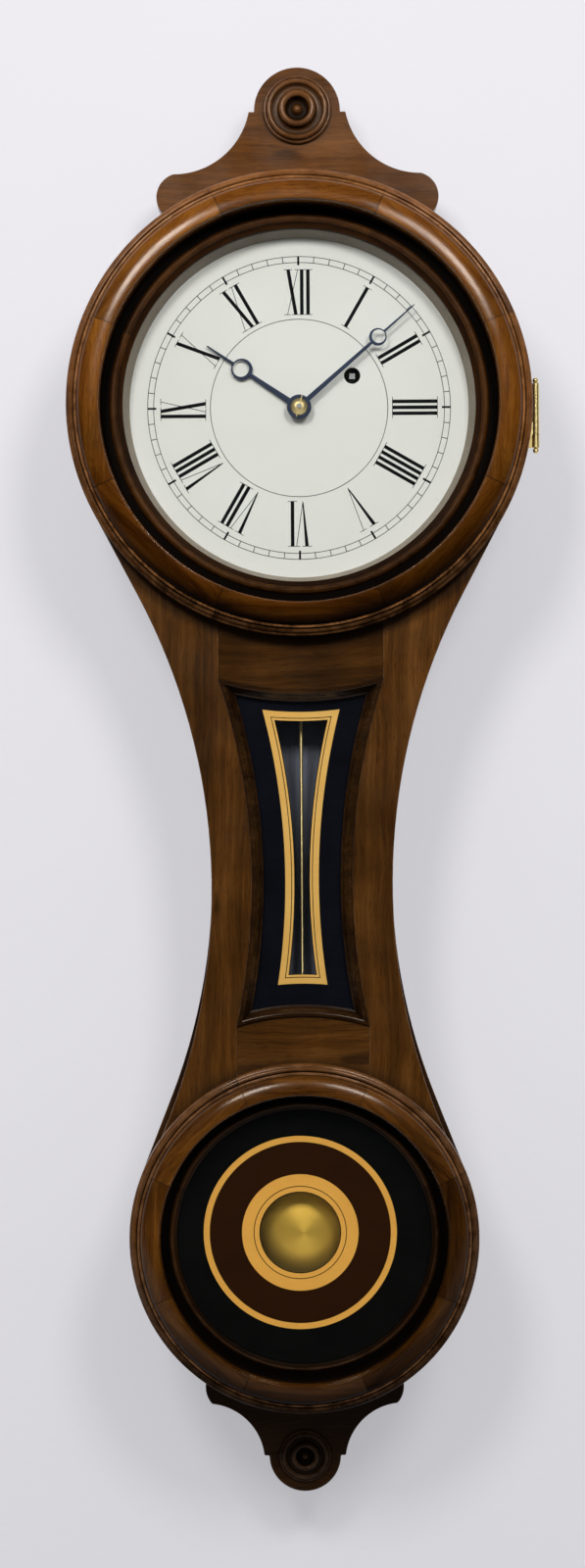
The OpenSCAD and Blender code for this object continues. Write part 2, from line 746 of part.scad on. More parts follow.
module plate_pillars() color(brass) at_upper() for (p = pillar_places) at(p) difference() {
    union() {
        spindle(pillar_r + 1, back_t, back_plate_d);
        spindle(pillar_r - 1, back_t, inner_back);
        spindle(pillar_r, inner_back, front_plate_d);
        turned() disc_at([pillar_r - 0.8, inner_back + plate_gap / 2], 2.4);
    }
    spindle(screw_r, front_plate_d - 8, front_plate_d + 1);
}

module pillar_screws() color(iron) at_upper() for (p = pillar_places) at(p) {
    difference() {
        spindle(3.6, plate_front, plate_front + 2);
        translate([-5, -plate_front - 3, -0.4]) cube([10, 2, 0.8]);
    }
    spindle(screw_r, front_plate_d - 8, plate_front);
}

// Pendulum cock, with the slot in which the suspension spring hangs
cock_screw_x = 9.5;
cock_screw_z = pallet_up + 12;
cock_t = 2.5;

module pendulum_cock() color(brass) at_upper() {
    difference() {
        union() {
            translate([-14, -plate_front - cock_t, pallet_up + 6]) cube([28, cock_t, 12]);
            translate([-5, -pendulum_d - 5, pallet_up + 7]) cube([10, pendulum_d + 5 - plate_front - 1, 9]);
        }
        translate([-0.55, -pendulum_d - 3.3, pallet_up + 6]) cube([1.1, 6.6, 12]);
        for (x = [-1, 1]) at([x * cock_screw_x, cock_screw_z]) spindle(screw_r, plate_front - 1, plate_front + cock_t + 1);
    }
    for (x = [-1, 1]) at([x * cock_screw_x, cock_screw_z]) {
        spindle(screw_r - 0.3, front_plate_d, plate_front + cock_t);
        spindle(screw_r + 1.2, plate_front + cock_t, plate_front + cock_t + 1.6);
    }
}

// Board that parts the weight's shaft from the pendulum
baffle_d = 57;
baffle_t = 3;

baffle_hw = min(throat_hw, waist_hw - side_t) - seat_gap;
baffle_top = plate_bottom - 22;
baffle_bottom = -ring_gap - sqrt(lower_space_r * lower_space_r - baffle_hw * baffle_hw) + seat_gap;

module weight_baffle() color("#241a12") at_upper() slab(baffle_d, baffle_t)
    translate([-baffle_hw, baffle_bottom]) square([2 * baffle_hw, baffle_top - baffle_bottom]);

module cord_anchor() color(iron) at_upper() at(anchor_pin_at) {
    spindle(anchor_pin_r, weight_d - 2, plate_front);
    spindle(anchor_pin_r + 1.2, weight_d - 2.6, weight_d - 1.4);
    spindle(anchor_pin_r + 1.2, weight_d + 1.4, weight_d + 2.6);
}

// Door hinge: five knuckles, three on the case and two on the door
module leaf(front, depth, own) difference() {
    union() {
        translate([leaf_end - leaf_w, -depth - leaf_t, hinge_z - hinge_l / 2]) cube([leaf_w, leaf_t, hinge_l]);
        for (i = [0:knuckles - 1]) if (i % 2 == own) {
            low = hinge_z - hinge_l / 2 + i * knuckle_l + knuckle_gap;
            translate([leaf_end - 1, -depth - leaf_t, low])
                cube([hinge_x - leaf_end + 1, leaf_t, knuckle_l - 2 * knuckle_gap]);
            translate([hinge_x, -case_depth, low]) cylinder(r = knuckle_r, h = knuckle_l - 2 * knuckle_gap);
        }
    }
    translate([hinge_x, -case_depth, hinge_z - hinge_l]) cylinder(r = hinge_pin_r + front, h = 2 * hinge_l);
}

module hinge_case_leaf() color(brass) at_upper() leaf(0.01, case_depth - leaf_t, 0);
module hinge_door_leaf() color(brass) at_upper() leaf(run_fit, case_depth, 1);

module hinge_pin() color(brass) at_upper() translate([hinge_x, -case_depth, hinge_z]) {
    cylinder(r = hinge_pin_r, h = hinge_l + 2, center = true);
    for (s = [-1, 1]) translate([0, 0, s * (hinge_l / 2 + 2.1)]) sphere(r = 2.2, $fn = 32);
}

module door_catch() color(brass) at_upper() at([catch_x, 0]) {
    slab(case_depth, 1.2) square([9.6, 29.6], center = true);
    spindle(catch_r, case_depth - catch_l, case_depth);
}

// Toothed wheels, drawn with a tooth on the +X line
function tooth(r, half_root, half_pitch, half_mid, half_tip, root, mid, tip, a) = [
    for (q = [[root, -half_root], [r, -half_pitch], [mid, -half_mid], [tip, -half_tip],
              [tip, half_tip], [mid, half_mid], [r, half_pitch], [root, half_root]])
    q[0] * [cos(a + q[1] / q[0] * 180 / PI), sin(a + q[1] / q[0] * 180 / PI)]
];

module wheel_outline(m, n, turn) {
    r = m * n / 2;
    polygon([for (i = [0:n - 1]) each tooth(r, 0.72 * m, 0.72 * m, 0.52 * m, 0.16 * m,
        r - 1.25 * m, r + 0.65 * m, r + 1.1 * m, turn + i * 360 / n)]);
}

module pinion_outline(m, n, turn) {
    r = m * n / 2;
    polygon([for (i = [0:n - 1]) each tooth(r, 0.34 * m, 0.5 * m, 0.42 * m, 0.2 * m,
        r - 1.45 * m, r + 0.45 * m, r + 0.75 * m, turn + i * 360 / n)]);
}

// Spokes: cut n windows between hub and rim
module windows(hub, rim, n, arm) for (i = [0:n - 1]) rotate(i * 360 / n) difference() {
    circle(r = rim);
    circle(r = hub);
    rotate(180 / n) translate([-2 * rim, -arm / 2]) square([2 * rim, arm]);
    rotate(180 / n) translate([-2 * rim, arm / 2 - 0.01]) square([4 * rim, 4 * rim]);
    rotate(-180 / n) translate([-2 * rim, -arm / 2 + 0.01 - 4 * rim]) square([4 * rim, 4 * rim]);
    rotate(180 / n) translate([0, -arm / 2]) square([2 * rim, arm]);
    rotate(-180 / n) translate([0, -arm / 2]) square([2 * rim, arm]);
}

// Angle from one place to another
function angle_to(from, to) = atan2(to.y - from.y, to.x - from.x);

module arbor(r, front_pivot) {
    spindle(pivot_r, back_plate_d + 0.3, front_plate_d);
    spindle(r, inner_back + shake, front_plate_d - shake);
    spindle(front_pivot, inner_back + 5, plate_front - 0.2);
}

// Great wheel: turns loose on the winding arbor and carries the click
ratchet_r = 12;
ratchet_teeth = 24;
click_post = [ratchet_r + 6, -6];

module great_wheel() color(brass) at_upper() at(great_at) slab(great_d, great_t) difference() {
    wheel_outline(great_m, great_teeth, angle_to(great_at, [0, 0]));
    circle(r = winding_r + run_fit);
    windows(23, great_m * great_teeth / 2 - 5, 5, 5);
}

module click() color(iron) at_upper() at(great_at) slab(great_d - ratchet_t, ratchet_t) {
    disc_at(click_post, 2.2);
    polygon([
        click_post + [-1.6, -1.5], click_post + [1.8, 1.2],
        [ratchet_r + 1.6, 2.5], [ratchet_r + 0.35, 1.2], [ratchet_r + 0.45, 0.4]
    ]);
}

module winding_drum() color(brass) at_upper() at(great_at) {
    spindle(pivot_r + 1, back_plate_d + 0.3, front_plate_d);
    spindle(winding_r, inner_back + shake, pendulum_d - 2);
    slab(pendulum_d - 2, dial_front - dial_t - pendulum_d + 0.5) square(winding_square, center = true);
    spindle(drum_core_r, drum_d, drum_d + drum_l);
    for (d = [drum_d, drum_d + drum_l - flange_t]) spindle(15, d, d + flange_t);
    slab(drum_d + drum_l, ratchet_t) polygon([
        for (i = [0:ratchet_teeth - 1]) each [
            ratchet_r * [cos(i * 15), sin(i * 15)],
            (ratchet_r - 1.4) * [cos(i * 15 + 2), sin(i * 15 + 2)]
        ]
    ]);
    for (i = [0:5]) turned() disc_at([drum_core_r + 0.3, weight_d + 3 * cord_r + i * 1.02], 0.5);
}

// Centre arbor, its wheel, and the hands
module centre_arbor() color(iron) at_upper() difference() {
    union() {
        spindle(pivot_r, back_plate_d + 0.3, inner_back + 1);
        spindle(centre_arbor_r, inner_back + shake, great_d - 3);
        spindle(centre_core_r, great_d - 4, centre_d);
        spindle(centre_arbor_r, centre_d - 0.5, motion_d);
        spindle(cannon_bore_r, motion_d, minute_hand_d + hand_t);
        spindle(tip_r, minute_hand_d, minute_hand_d + hand_t + collet_t + 2);
        slab(great_d - 2, great_t + 4) pinion_outline(great_m, leaves,
            angle_to([0, 0], great_at) + 180 / leaves);
    }
    translate([0, -minute_hand_d - hand_t - collet_t - 0.9, 0]) rotate([0, 16, 0])
        cylinder(r = 0.5, h = 20, center = true);
}

module centre_wheel() color(brass) at_upper() {
    difference() {
        slab(centre_d, train_t) difference() {
            wheel_outline(centre_m, centre_teeth, angle_to([0, 0], third_at));
            windows(7, centre_m * centre_teeth / 2 - 4, 5, 3.5);
        }
        spindle(centre_arbor_r, centre_d - 1, centre_d + 10);
    }
    tube(4.5, centre_arbor_r, centre_d + train_t, centre_d + train_t + 1.5);
}

module cannon_pinion() color(brass) at_upper() difference() {
    union() {
        slab(motion_d, cannon_t) pinion_outline(cannon_m, cannon_leaves,
            angle_to([0, 0], minute_at) + 180 / cannon_leaves);
        spindle(cannon_pipe_r, motion_d + cannon_t, minute_hand_d + hand_t);
    }
    spindle(cannon_bore_r, motion_d - 1, minute_hand_d + hand_t + 1);
}

// A hand drawn pointing up: boss, tapering stem, eccentric ring and thin tip
module hand_outline(length, boss_r, ring_at, ring_r, root_w, neck_w, tip_w) {
    circle(r = boss_r);
    polygon([[-root_w / 2, 0], [root_w / 2, 0], [neck_w / 2, ring_at - ring_r + 0.6], [-neck_w / 2, ring_at - ring_r + 0.6]]);
    difference() {
        disc_at([0, ring_at], ring_r);
        disc_at([0, ring_at + ring_r * 0.12], ring_r * 0.76);
    }
    polygon([[-neck_w * 0.38, ring_at + ring_r - 0.5], [neck_w * 0.38, ring_at + ring_r - 0.5],
             [tip_w / 2, length], [-tip_w / 2, length]]);
}

module minute_hand() color(blued) at_upper() slab(minute_hand_d, hand_t) difference() {
    rotate(-minute_angle) hand_outline(minute_l, 9.4, minute_ring_at, minute_ring_r, 4, 2.4, 0.9);
    circle(r = cannon_pipe_r);
}

module hand_collet() color(brass) at_upper() {
    front = minute_hand_d + hand_t;
    turned() difference() {
        intersection() {
            translate([tip_r + 0.02, front]) square([6.6, collet_t]);
            disc_at([0, front - 6], 8.9);
        }
        disc_at([5.2, front + collet_t + 0.6], 1);
    }
    translate([0, -front - collet_t - 0.9, 0]) rotate([0, 16, 0]) cylinder(r = 0.45, h = 17, center = true);
}

module hour_wheel() color(brass) at_upper() difference() {
    union() {
        slab(hour_wheel_d, train_t) wheel_outline(hour_m, hour_teeth, angle_to([0, 0], minute_at));
        spindle(hour_pipe_r, hour_wheel_d, hour_hand_d + hand_t);
    }
    spindle(cannon_pipe_r + run_fit, hour_wheel_d - 1, hour_hand_d + hand_t + 1);
}

module hour_hand() color(blued) at_upper() slab(hour_hand_d, hand_t) difference() {
    rotate(-hour_angle) hand_outline(hour_l, 8, hour_ring_at, hour_ring_r, 4.8, 2.9, 1.1);
    circle(r = hour_pipe_r);
}

module minute_wheel() color(brass) at_upper() at(minute_at) difference() {
    to_centre = angle_to(minute_at, [0, 0]);
    union() {
        slab(motion_d + 0.6, 1.8) wheel_outline(cannon_m, minute_teeth, to_centre);
        spindle(2.1, motion_d - 1.6, motion_d + 1);
        slab(motion_d + 2.4, hour_wheel_d - motion_d + 0.4)
            pinion_outline(hour_m, minute_leaves, to_centre + 180 / minute_leaves);
    }
    spindle(post_r + run_fit, motion_d - 3, hour_wheel_d + 6);
}

// Third wheel and escape wheel, each with its arbor and pinion
module third_wheel() color(brass) at_upper() at(third_at) {
    arbor(arbor_r, pivot_r);
    slab(third_d, train_t) difference() {
        wheel_outline(third_m, third_teeth, angle_to(third_at, escape_at));
        windows(6, third_m * third_teeth / 2 - 4, 4, 3);
    }
    slab(centre_d - 1.5, train_t + 3) pinion_outline(centre_m, leaves,
        angle_to(third_at, [0, 0]) + 180 / leaves);
}

module escape_outline(turn) polygon([for (i = [0:escape_teeth - 1]) each [
    for (q = [[escape_r - 3.4, 1.2], [escape_r, 0], [escape_r, 0.5], [escape_r - 2.2, 3.2], [escape_r - 3.4, 6.5]])
    q[0] * [cos(turn + q[1] + i * 360 / escape_teeth), sin(turn + q[1] + i * 360 / escape_teeth)]
]]);

module escape_wheel() color(brass) at_upper() at(escape_at) {
    entry = angle_to(escape_at, pallet_at) + 45;
    arbor(arbor_r, pivot_r);
    slab(escape_d, escape_t) difference() {
        escape_outline(entry + 90 / escape_teeth);
        windows(4.5, escape_r - 5.4, 4, 2.4);
    }
    slab(third_d - 1.5, train_t + 3) pinion_outline(third_m, leaves,
        angle_to(escape_at, third_at) + 180 / leaves);
}

// Pallets on their arbor: two short arcs about the arbor, carried by two arms
pallet_span = 45;
pallet_far = 1.5 * escape_reach;

module pallet_arm() intersection() {
    difference() {
        circle(r = escape_r + pallet_w / 2 + 2);
        circle(r = escape_r - pallet_w / 2);
    }
    polygon([[0, 0], pallet_far * [cos(-pallet_span + 10), sin(-pallet_span + 10)],
        pallet_far * [cos(-14), sin(-14)]]);
}

module pallet_nib() intersection() {
    difference() {
        circle(r = escape_r + pallet_w / 2);
        circle(r = escape_r - pallet_w / 2);
    }
    polygon([[0, 0], pallet_far * [cos(-pallet_span + 0.1), sin(-pallet_span + 0.1)],
        pallet_far * [cos(-30), sin(-30)]]);
}

module pallet_anchor() color(iron) at_upper() at(pallet_at) {
    arbor(arbor_r, pivot_r);
    spindle(pivot_r, front_plate_d, plate_front + 8);
    slab(anchor_d, anchor_t) rotate(escape_angle + 90) {
        circle(r = 4.2);
        both_sides() {
            polygon([[0, 3.6], [escape_r + 1.4, -2.9], [escape_r - 1.2, -6.4], [0, -3.2]]);
            pallet_arm();
            pallet_nib();
        }
    }
}

// Crutch: hangs from the pallet arbor and guides the rod between two prongs
crutch_d = plate_front + 4;

module crutch() color(iron) at_upper() at(pallet_at) {
    fork = rod_r + rod_play;
    difference() {
        union() {
            spindle(3, crutch_d, crutch_d + 2);
            slab(crutch_d, 2) translate([-1.5, -26]) square([3, 26]);
        }
        spindle(pivot_r, crutch_d - 1, crutch_d + 3);
    }
    slab(crutch_d, pendulum_d - rod_r - 0.5 - crutch_d) translate([-1.5, -28]) square([3, 4]);
    slab(pendulum_d - rod_r - 2, 1.5) translate([-fork - 1.5, -28]) square([2 * fork + 3, 4]);
    for (s = [-1, 1]) slab(pendulum_d - rod_r - 2, 2 * rod_r + 2)
        translate([s * (fork + 0.75) - 0.75, -28]) square([1.5, 4]);
}

// Pendulum
chop_top = pallet_up - 13;

module suspension_spring() color(iron) at_upper()
    translate([-spring_t / 2, -pendulum_d - 3, chop_top - 6]) cube([spring_t, 6, pallet_up + 8 - chop_top + 6]);

module pendulum_rod() color(brass) at_upper() {
    difference() {
        translate([-3.5, -pendulum_d - 4, chop_top - 8]) cube([7, 8, 8]);
        translate([-spring_t / 2, -pendulum_d - 3, chop_top - 6]) cube([spring_t, 6, 10]);
    }
    translate([0, -pendulum_d, loop_r + 2]) cylinder(r = rod_r, h = chop_top - 8 - loop_r - 2);
    slab(pendulum_d - 1.5, 3) difference() {
        union() {
            circle(r = loop_r + 3);
            translate([-3.5, -loop_r - 8]) square([7, 2 * loop_r + 16]);
        }
        circle(r = loop_r);
    }
    translate([0, -pendulum_d, bob_at.y - bob_r - 26]) cylinder(r = rod_r, h = bob_r + 24 - loop_r - bob_at.y);
}

module bob() color(brass) at_lower() {
    ball = (bob_r * bob_r + bob_t * bob_t / 4) / bob_t;
    difference() {
        turned() intersection() {
            disc_at([0, pendulum_d - bob_t / 2 + ball], ball);
            disc_at([0, pendulum_d + bob_t / 2 - ball], ball);
            translate([0, pendulum_d - bob_t]) square([bob_r - 1, 2 * bob_t]);
        }
        translate([0, -pendulum_d, -bob_r - 1]) cylinder(r = rod_r + run_fit, h = 2 * bob_r + 2);
    }
}

module rating_nut() color(brass) at_lower() translate([0, -pendulum_d, -bob_r - 9]) difference() {
    union() {
        cylinder(r = nut_r, h = 5);
        cylinder(r = nut_r - 3, h = 9.8);
    }
    translate([0, 0, -1]) cylinder(r = rod_r + run_fit, h = 12);
}

// Weight, its pulley and the cord
pulley_t = 6;
pulley_pin_r = 1.5;
cheek_t = 1.8;

module weight() color(iron) at_upper() translate([pulley_at.x, -weight_d, weight_top - weight_h]) {
    translate([-weight_w / 2, -weight_t / 2, 0]) cube([weight_w, weight_t, weight_h]);
    cylinder(r = 4, h = weight_h + 4);
}

module pulley_frame() color(brass) at_upper() at(pulley_at) {
    drop = -pulley_down - weight_top;
    for (s = [-1, 1]) difference() {
        slab(weight_d + s * (pulley_t / 2 + 0.3 + cheek_t / 2) - cheek_t / 2, cheek_t) {
            circle(r = 5);
            translate([-5, -drop + 4]) square([10, drop - 4]);
        }
        spindle(pulley_pin_r, weight_d - 20, weight_d + 20);
    }
    spindle(pulley_pin_r, weight_d - pulley_t / 2 - cheek_t - 0.6, weight_d + pulley_t / 2 + cheek_t + 0.6);
    slab(weight_d - pulley_t / 2 - cheek_t - 0.3, pulley_t + 2 * cheek_t + 0.6)
        translate([-5, -drop + 4]) square([10, pulley_t / 2]);
}

module pulley() color(brass) at_upper() at(pulley_at) turned() difference() {
    translate([pulley_pin_r + run_fit, weight_d - pulley_t / 2]) square([pulley_r + 1.5 - pulley_pin_r - run_fit, pulley_t]);
    disc_at([pulley_r, weight_d], cord_r + 0.1);
    translate([pulley_r, weight_d - cord_r - 0.1]) square([10, 2 * cord_r + 0.2]);
    disc_at([11.5, weight_d + pulley_t / 2 + 1.4], 3);
    disc_at([11.5, weight_d - pulley_t / 2 - 1.4], 3);
}

module cord() color("#b59b6a") at_upper() {
    for (end = [[great_at.x - drum_cord_r, great_at.y], [anchor_pin_at.x, anchor_pin_at.y - anchor_pin_r - 0.1]])
        translate([end.x, -weight_d, 0.01 - pulley_down]) cylinder(r = cord_r, h = end.y + pulley_down - 0.01);
    at(pulley_at) translate([0, -weight_d, 0]) rotate([-90, 0, 0])
        rotate_extrude(angle = 180) translate([pulley_r, 0]) circle(r = cord_r);
}

backboard();
upper_drum();
lower_drum();
waist_side_left();
waist_side_right();
stile_left();
stile_right();
top_rail();
bottom_rail();
tablet_moulding();
waist_glass();
lower_ring();
lower_glass();
lower_glass_retainer();
door_ring();
door_glass();
door_glass_retainer();
crest_board();
bottom_bracket();
top_rosette();
bottom_rosette();
hanger_plate();
hanger_screws();
dial_board();
dial_plate();
dial_screws();
back_plate();
front_plate();
plate_pillars();
pillar_screws();
pendulum_cock();
weight_baffle();
cord_anchor();
hinge_case_leaf();
hinge_door_leaf();
hinge_pin();
door_catch();
centre_arbor();
centre_wheel();
cannon_pinion();
minute_hand();
hand_collet();
hour_wheel();
hour_hand();
minute_wheel();
great_wheel();
click();
winding_drum();
third_wheel();
escape_wheel();
pallet_anchor();
crutch();
suspension_spring();
pendulum_rod();
bob();
rating_nut();
weight();
pulley_frame();
pulley();
cord();
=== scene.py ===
# %% [markdown]
# # A wall regulator clock in walnut
# The clock hangs on a wall: a crest board, a big turned ring that is the door over the dial, a
# waist with a painted glass tablet, a smaller turned ring over the bob, and a bracket board. The
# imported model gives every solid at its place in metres, with x to the right, z up and the front
# towards -y. This lesson eases their edges, lays the grain, prints the dial and mixes finishes.

# %% Load the frame
import math
import random

import bmesh
import bpy
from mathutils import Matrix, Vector


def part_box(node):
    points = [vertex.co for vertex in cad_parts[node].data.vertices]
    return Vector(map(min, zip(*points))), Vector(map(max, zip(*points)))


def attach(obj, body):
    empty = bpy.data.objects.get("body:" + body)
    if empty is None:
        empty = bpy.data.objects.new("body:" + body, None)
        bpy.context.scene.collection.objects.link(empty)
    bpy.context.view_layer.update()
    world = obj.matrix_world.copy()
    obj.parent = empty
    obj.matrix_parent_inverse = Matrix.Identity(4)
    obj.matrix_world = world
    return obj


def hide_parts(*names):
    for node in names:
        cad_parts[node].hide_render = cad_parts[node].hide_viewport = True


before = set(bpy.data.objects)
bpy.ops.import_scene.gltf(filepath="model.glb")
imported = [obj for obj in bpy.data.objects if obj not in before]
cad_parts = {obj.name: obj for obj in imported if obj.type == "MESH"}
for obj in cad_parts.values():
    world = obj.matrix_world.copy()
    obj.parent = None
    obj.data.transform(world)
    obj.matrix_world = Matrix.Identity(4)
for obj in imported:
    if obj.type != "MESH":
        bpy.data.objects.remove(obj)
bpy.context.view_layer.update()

# %% [markdown]
# ## Places that everything is measured from
# The maker sets out a clock from two centres: the middle of the dial and the middle of the lower
# ring. Depths are counted from the wall, in millimetres, as on the drawing.

# %% The two centres and the drawing's units
MM = 0.001
WELD = 2e-6  # points of a mesh that lie nearer to each other than this, in metres, become one
DIAL = Vector((0, 0, -0.150))
LOWER = Vector((0, 0, -0.787))
UPPER_R, LOWER_R = 178.0, 133.4
CASE_FRONT, BOARD_FRONT = 108.0, 52.0


def drawn(centre, x, z, depth):
    """The point at x, z from a centre and at a depth from the wall, all in millimetres."""
    return centre + Vector((x, -depth, z)) * MM


random.seed(1840)
print("rings", UPPER_R, "and", LOWER_R, "mm, centres", round((DIAL - LOWER).z, 3), "m apart")

# %% [markdown]
# ## Mixing a finish
# A finish is a small tree of nodes. A few helpers keep the trees short: one adds a node and
# plugs in what it is given, and the others do arithmetic, mix colours and make noise. Everything
# that is the same all over a surface is set on the shader itself.

# %% Helpers for node trees
def add(tree, kind, inputs=None, **settings):
    """Adds a node; a socket is linked to its input, and anything else is set there."""
    node = tree.nodes.new("ShaderNode" + kind)
    for key, value in settings.items():
        setattr(node, key, value)
    for key, value in (inputs or {}).items():
        if isinstance(value, bpy.types.NodeSocket):
            tree.links.new(value, node.inputs[key])
        else:
            node.inputs[key].default_value = value
    return node


def calc(tree, operation, a, b=0.0):
    return add(tree, "Math", {0: a, 1: b}, operation=operation).outputs[0]


def times(tree, a, b):
    return calc(tree, "MULTIPLY", a, b)


def weighed(tree, *parts):
    """The sum of several values, each times its weight."""
    terms = [times(tree, value, weight) for value, weight in parts]
    total = terms[0]
    for term in terms[1:]:
        total = calc(tree, "ADD", total, term)
    return total


def vectors(tree, operation, a, b=(0, 0, 0), out="Vector"):
    return add(tree, "VectorMath", {0: a, 1: b}, operation=operation).outputs[out]


def span(tree, value, low, high, to_low=0.0, to_high=1.0):
    """Stretches the range low..high of a value over another range, and clamps it there."""
    return add(tree, "MapRange", {"Value": value, "From Min": low, "From Max": high,
                                  "To Min": to_low, "To Max": to_high}).outputs[0]


def mixed(tree, factor, a, b, blend="MIX"):
    return add(tree, "Mix", {0: factor, 6: a, 7: b}, data_type="RGBA", blend_type=blend).outputs[2]


def grey(tree, value):
    return add(tree, "CombineColor", {0: value, 1: value, 2: value}).outputs[0]


def shaded(colour, by, plus=0.0):
    """A colour made darker or paler, with its alpha."""
    return (*[c * by + plus for c in colour], 1)


def stepped(tree, value, *steps):
    """Colours by steps: each step is a place from 0 to 1 and a colour."""
    ramp = add(tree, "ValToRGB", {0: value})
    marks = ramp.color_ramp.elements
    for _ in steps[2:]:
        marks.new(0.5)
    for i, (place, colour) in enumerate(steps):
        marks[i].position = place
        marks[i].color = (*colour, 1)
    return ramp.outputs[0]


def finish(name, **constants):
    """A new finish and its tree, with the values that hold all over set on its shader."""
    material = bpy.data.materials.new(name)
    material.use_nodes = True
    shader = material.node_tree.nodes["Principled BSDF"]
    for key, value in constants.items():
        shader.inputs[key.replace("_", " ")].default_value = value
    return material, material.node_tree


def bare(owner):
    """The emptied tree of a material or a world."""
    owner.use_nodes = True
    owner.node_tree.nodes.clear()
    return owner.node_tree


def plugged(material, **inputs):
    """The finish with what varies over a surface plugged into its shader."""
    tree = material.node_tree
    for key, value in inputs.items():
        tree.links.new(value, tree.nodes["Principled BSDF"].inputs[key.replace("_", " ")])
    return material


def noise(tree, vector, scale, detail=2.0, roughness=0.5):
    return add(tree, "TexNoise", {"Vector": vector, "Scale": scale, "Detail": detail,
                                  "Roughness": roughness}).outputs[0]


def streaks(tree, vector, length, width, detail=3, roughness=0.6):
    """Noise that is so long along x and so wide across it, in metres."""
    scale = (1 / length, 1 / width, 1 / width)
    scaled = add(tree, "Mapping", {"Vector": vector, "Scale": scale}).outputs[0]
    return noise(tree, scaled, 1.0, detail, roughness)


def carried(tree, name, out="Fac"):
    """An attribute that the points of a piece carry."""
    return add(tree, "Attribute", attribute_name=name).outputs[out]


def place_in(tree):
    return add(tree, "TexCoord").outputs["Object"]


def bumped(tree, height, depth, strength=1.0):
    return add(tree, "Bump", {"Height": height, "Distance": depth, "Strength": strength}).outputs[0]


print("finish helpers ready")

# %% [markdown]
# ## Walnut
# Old walnut under many coats of varnish has long streaks that wander a little, fine dark pores
# along the grain, softer clouds, and paler wood where an edge is rubbed. Painted shade darkens
# every corner and hollow towards a near black: ambient occlusion finds the corners, and the turned
# pieces carry dark joints, dirt and painted shade in their hollows. The streaks are noise
# stretched along the grain. A piece carries four attributes: grain for the grain's own
# coordinates, so that a ring of eight segments has eight directions with one finish, tone for how
# dark it is, which on the rings and the upper rail holds painted shade, one for dark joints, dirt
# and painted shade in hollows, and worn.

# %% The walnut finish
# painted shade in corners: ambient occlusion within the second value, in metres, darkens them by up to the first
CORNER_SHADE, CORNER_REACH = 0.75, 0.012


def walnut(name, dark, mid, light, rough=0.19):
    material, tree = finish(name, Specular_Tint=(1.0, 0.88, 0.78, 1))
    grain = carried(tree, "grain", "Vector")
    wander = add(tree, "TexNoise", {"Vector": grain, "Scale": 7.0, "Detail": 2.0}).outputs["Color"]
    shift = vectors(tree, "SUBTRACT", wander, (0.5, 0.5, 0.5))
    grain = vectors(tree, "ADD", grain, vectors(tree, "MULTIPLY", shift, (0, 0.020, 0.010)))
    broad = streaks(tree, grain, 0.32, 0.017, 3, 0.55)
    narrow = streaks(tree, grain, 0.11, 0.0042)
    fine = streaks(tree, grain, 0.035, 0.0010, 2)
    figure = weighed(tree, (broad, 0.44), (narrow, 0.34), (fine, 0.22))
    wood = stepped(tree, span(tree, figure, 0.37, 0.63), (0.0, dark), (0.46, mid), (1.0, light))
    pores = span(tree, streaks(tree, grain, 0.010, 0.00042, 1, 0.4), 0.60, 0.68)
    wood = mixed(tree, times(tree, pores, 0.55), wood, shaded(dark, 0.35))
    tone = carried(tree, "tone")
    cloud = span(tree, noise(tree, grain, 11.0, 3, 0.6), 0.32, 0.68, 0.66, 1.34)
    cloud = times(tree, cloud, calc(tree, "ADD", tone, 1.0))
    wood = mixed(tree, 1.0, wood, grey(tree, cloud), "MULTIPLY")
    spots = span(tree, streaks(tree, grain, 0.05, 0.02, 1, 0.5), 0.70, 0.78, 0, 0.6)
    wood = mixed(tree, spots, wood, shaded(dark, 0.3))
    # painted shade: ambient occlusion, with the pieces' own dirt and painted shade in hollows, mixes the wood
    # towards a near black
    closed = add(tree, "AmbientOcclusion", {"Distance": CORNER_REACH}, samples=6).outputs["AO"]
    closed = span(tree, closed, 0.35, 0.95, CORNER_SHADE, 0.0)
    grime_and_shade = calc(tree, "MAXIMUM", closed, carried(tree, "grime_and_shade"))
    wood = mixed(tree, grime_and_shade, wood, (0.0022, 0.0014, 0.0010, 1))
    patchy = span(tree, noise(tree, grain, 85.0, 3, 0.7), 0.38, 0.62, 0.15, 1.0)
    rubbed = times(tree, carried(tree, "worn"), patchy)
    wood = mixed(tree, times(tree, rubbed, 0.62), wood, shaded(light, 1.5, 0.05))
    gloss = span(tree, noise(tree, grain, 30.0, 3), 0.3, 0.7, rough - 0.04, rough + 0.05)
    gloss = calc(tree, "ADD", gloss, times(tree, grime_and_shade, 0.22))
    height = calc(tree, "SUBTRACT", times(tree, narrow, 1.2), times(tree, pores, 0.25))
    shine = times(tree, span(tree, grime_and_shade, 0.0, 1.0, 0.35, 0.04), span(tree, tone, -0.80, 0.0, 0.05, 1.0))
    return plugged(material, Base_Color=wood, Roughness=gloss, Specular_IOR_Level=shine,
                   Normal=bumped(tree, height, 0.00006, 0.5))


WALNUT = {name: walnut(name + "_walnut", *tones) for name, tones in {
    "ring": ((0.056, 0.0155, 0.0013), (0.140, 0.0435, 0.0034), (0.235, 0.0850, 0.0100)),
    "lower_ring": ((0.032, 0.0100, 0.0011), (0.084, 0.0285, 0.0030), (0.150, 0.0560, 0.0080)),
    "panel": ((0.038, 0.0138, 0.0020), (0.075, 0.0275, 0.0038), (0.122, 0.0480, 0.0085), 0.24),
    "crest": ((0.046, 0.0150, 0.0026), (0.094, 0.0320, 0.0052), (0.145, 0.0540, 0.0105), 0.20),
    "bracket": ((0.026, 0.0100, 0.0024), (0.058, 0.0225, 0.0050), (0.100, 0.0400, 0.0100), 0.22),
    "trim": ((0.013, 0.0052, 0.0014), (0.032, 0.0128, 0.0032), (0.062, 0.0260, 0.0066), 0.22),
    "side": ((0.018, 0.0068, 0.0017), (0.040, 0.0155, 0.0036), (0.072, 0.0290, 0.0075), 0.24),
}.items()}
print("walnut in", len(WALNUT), "tones")
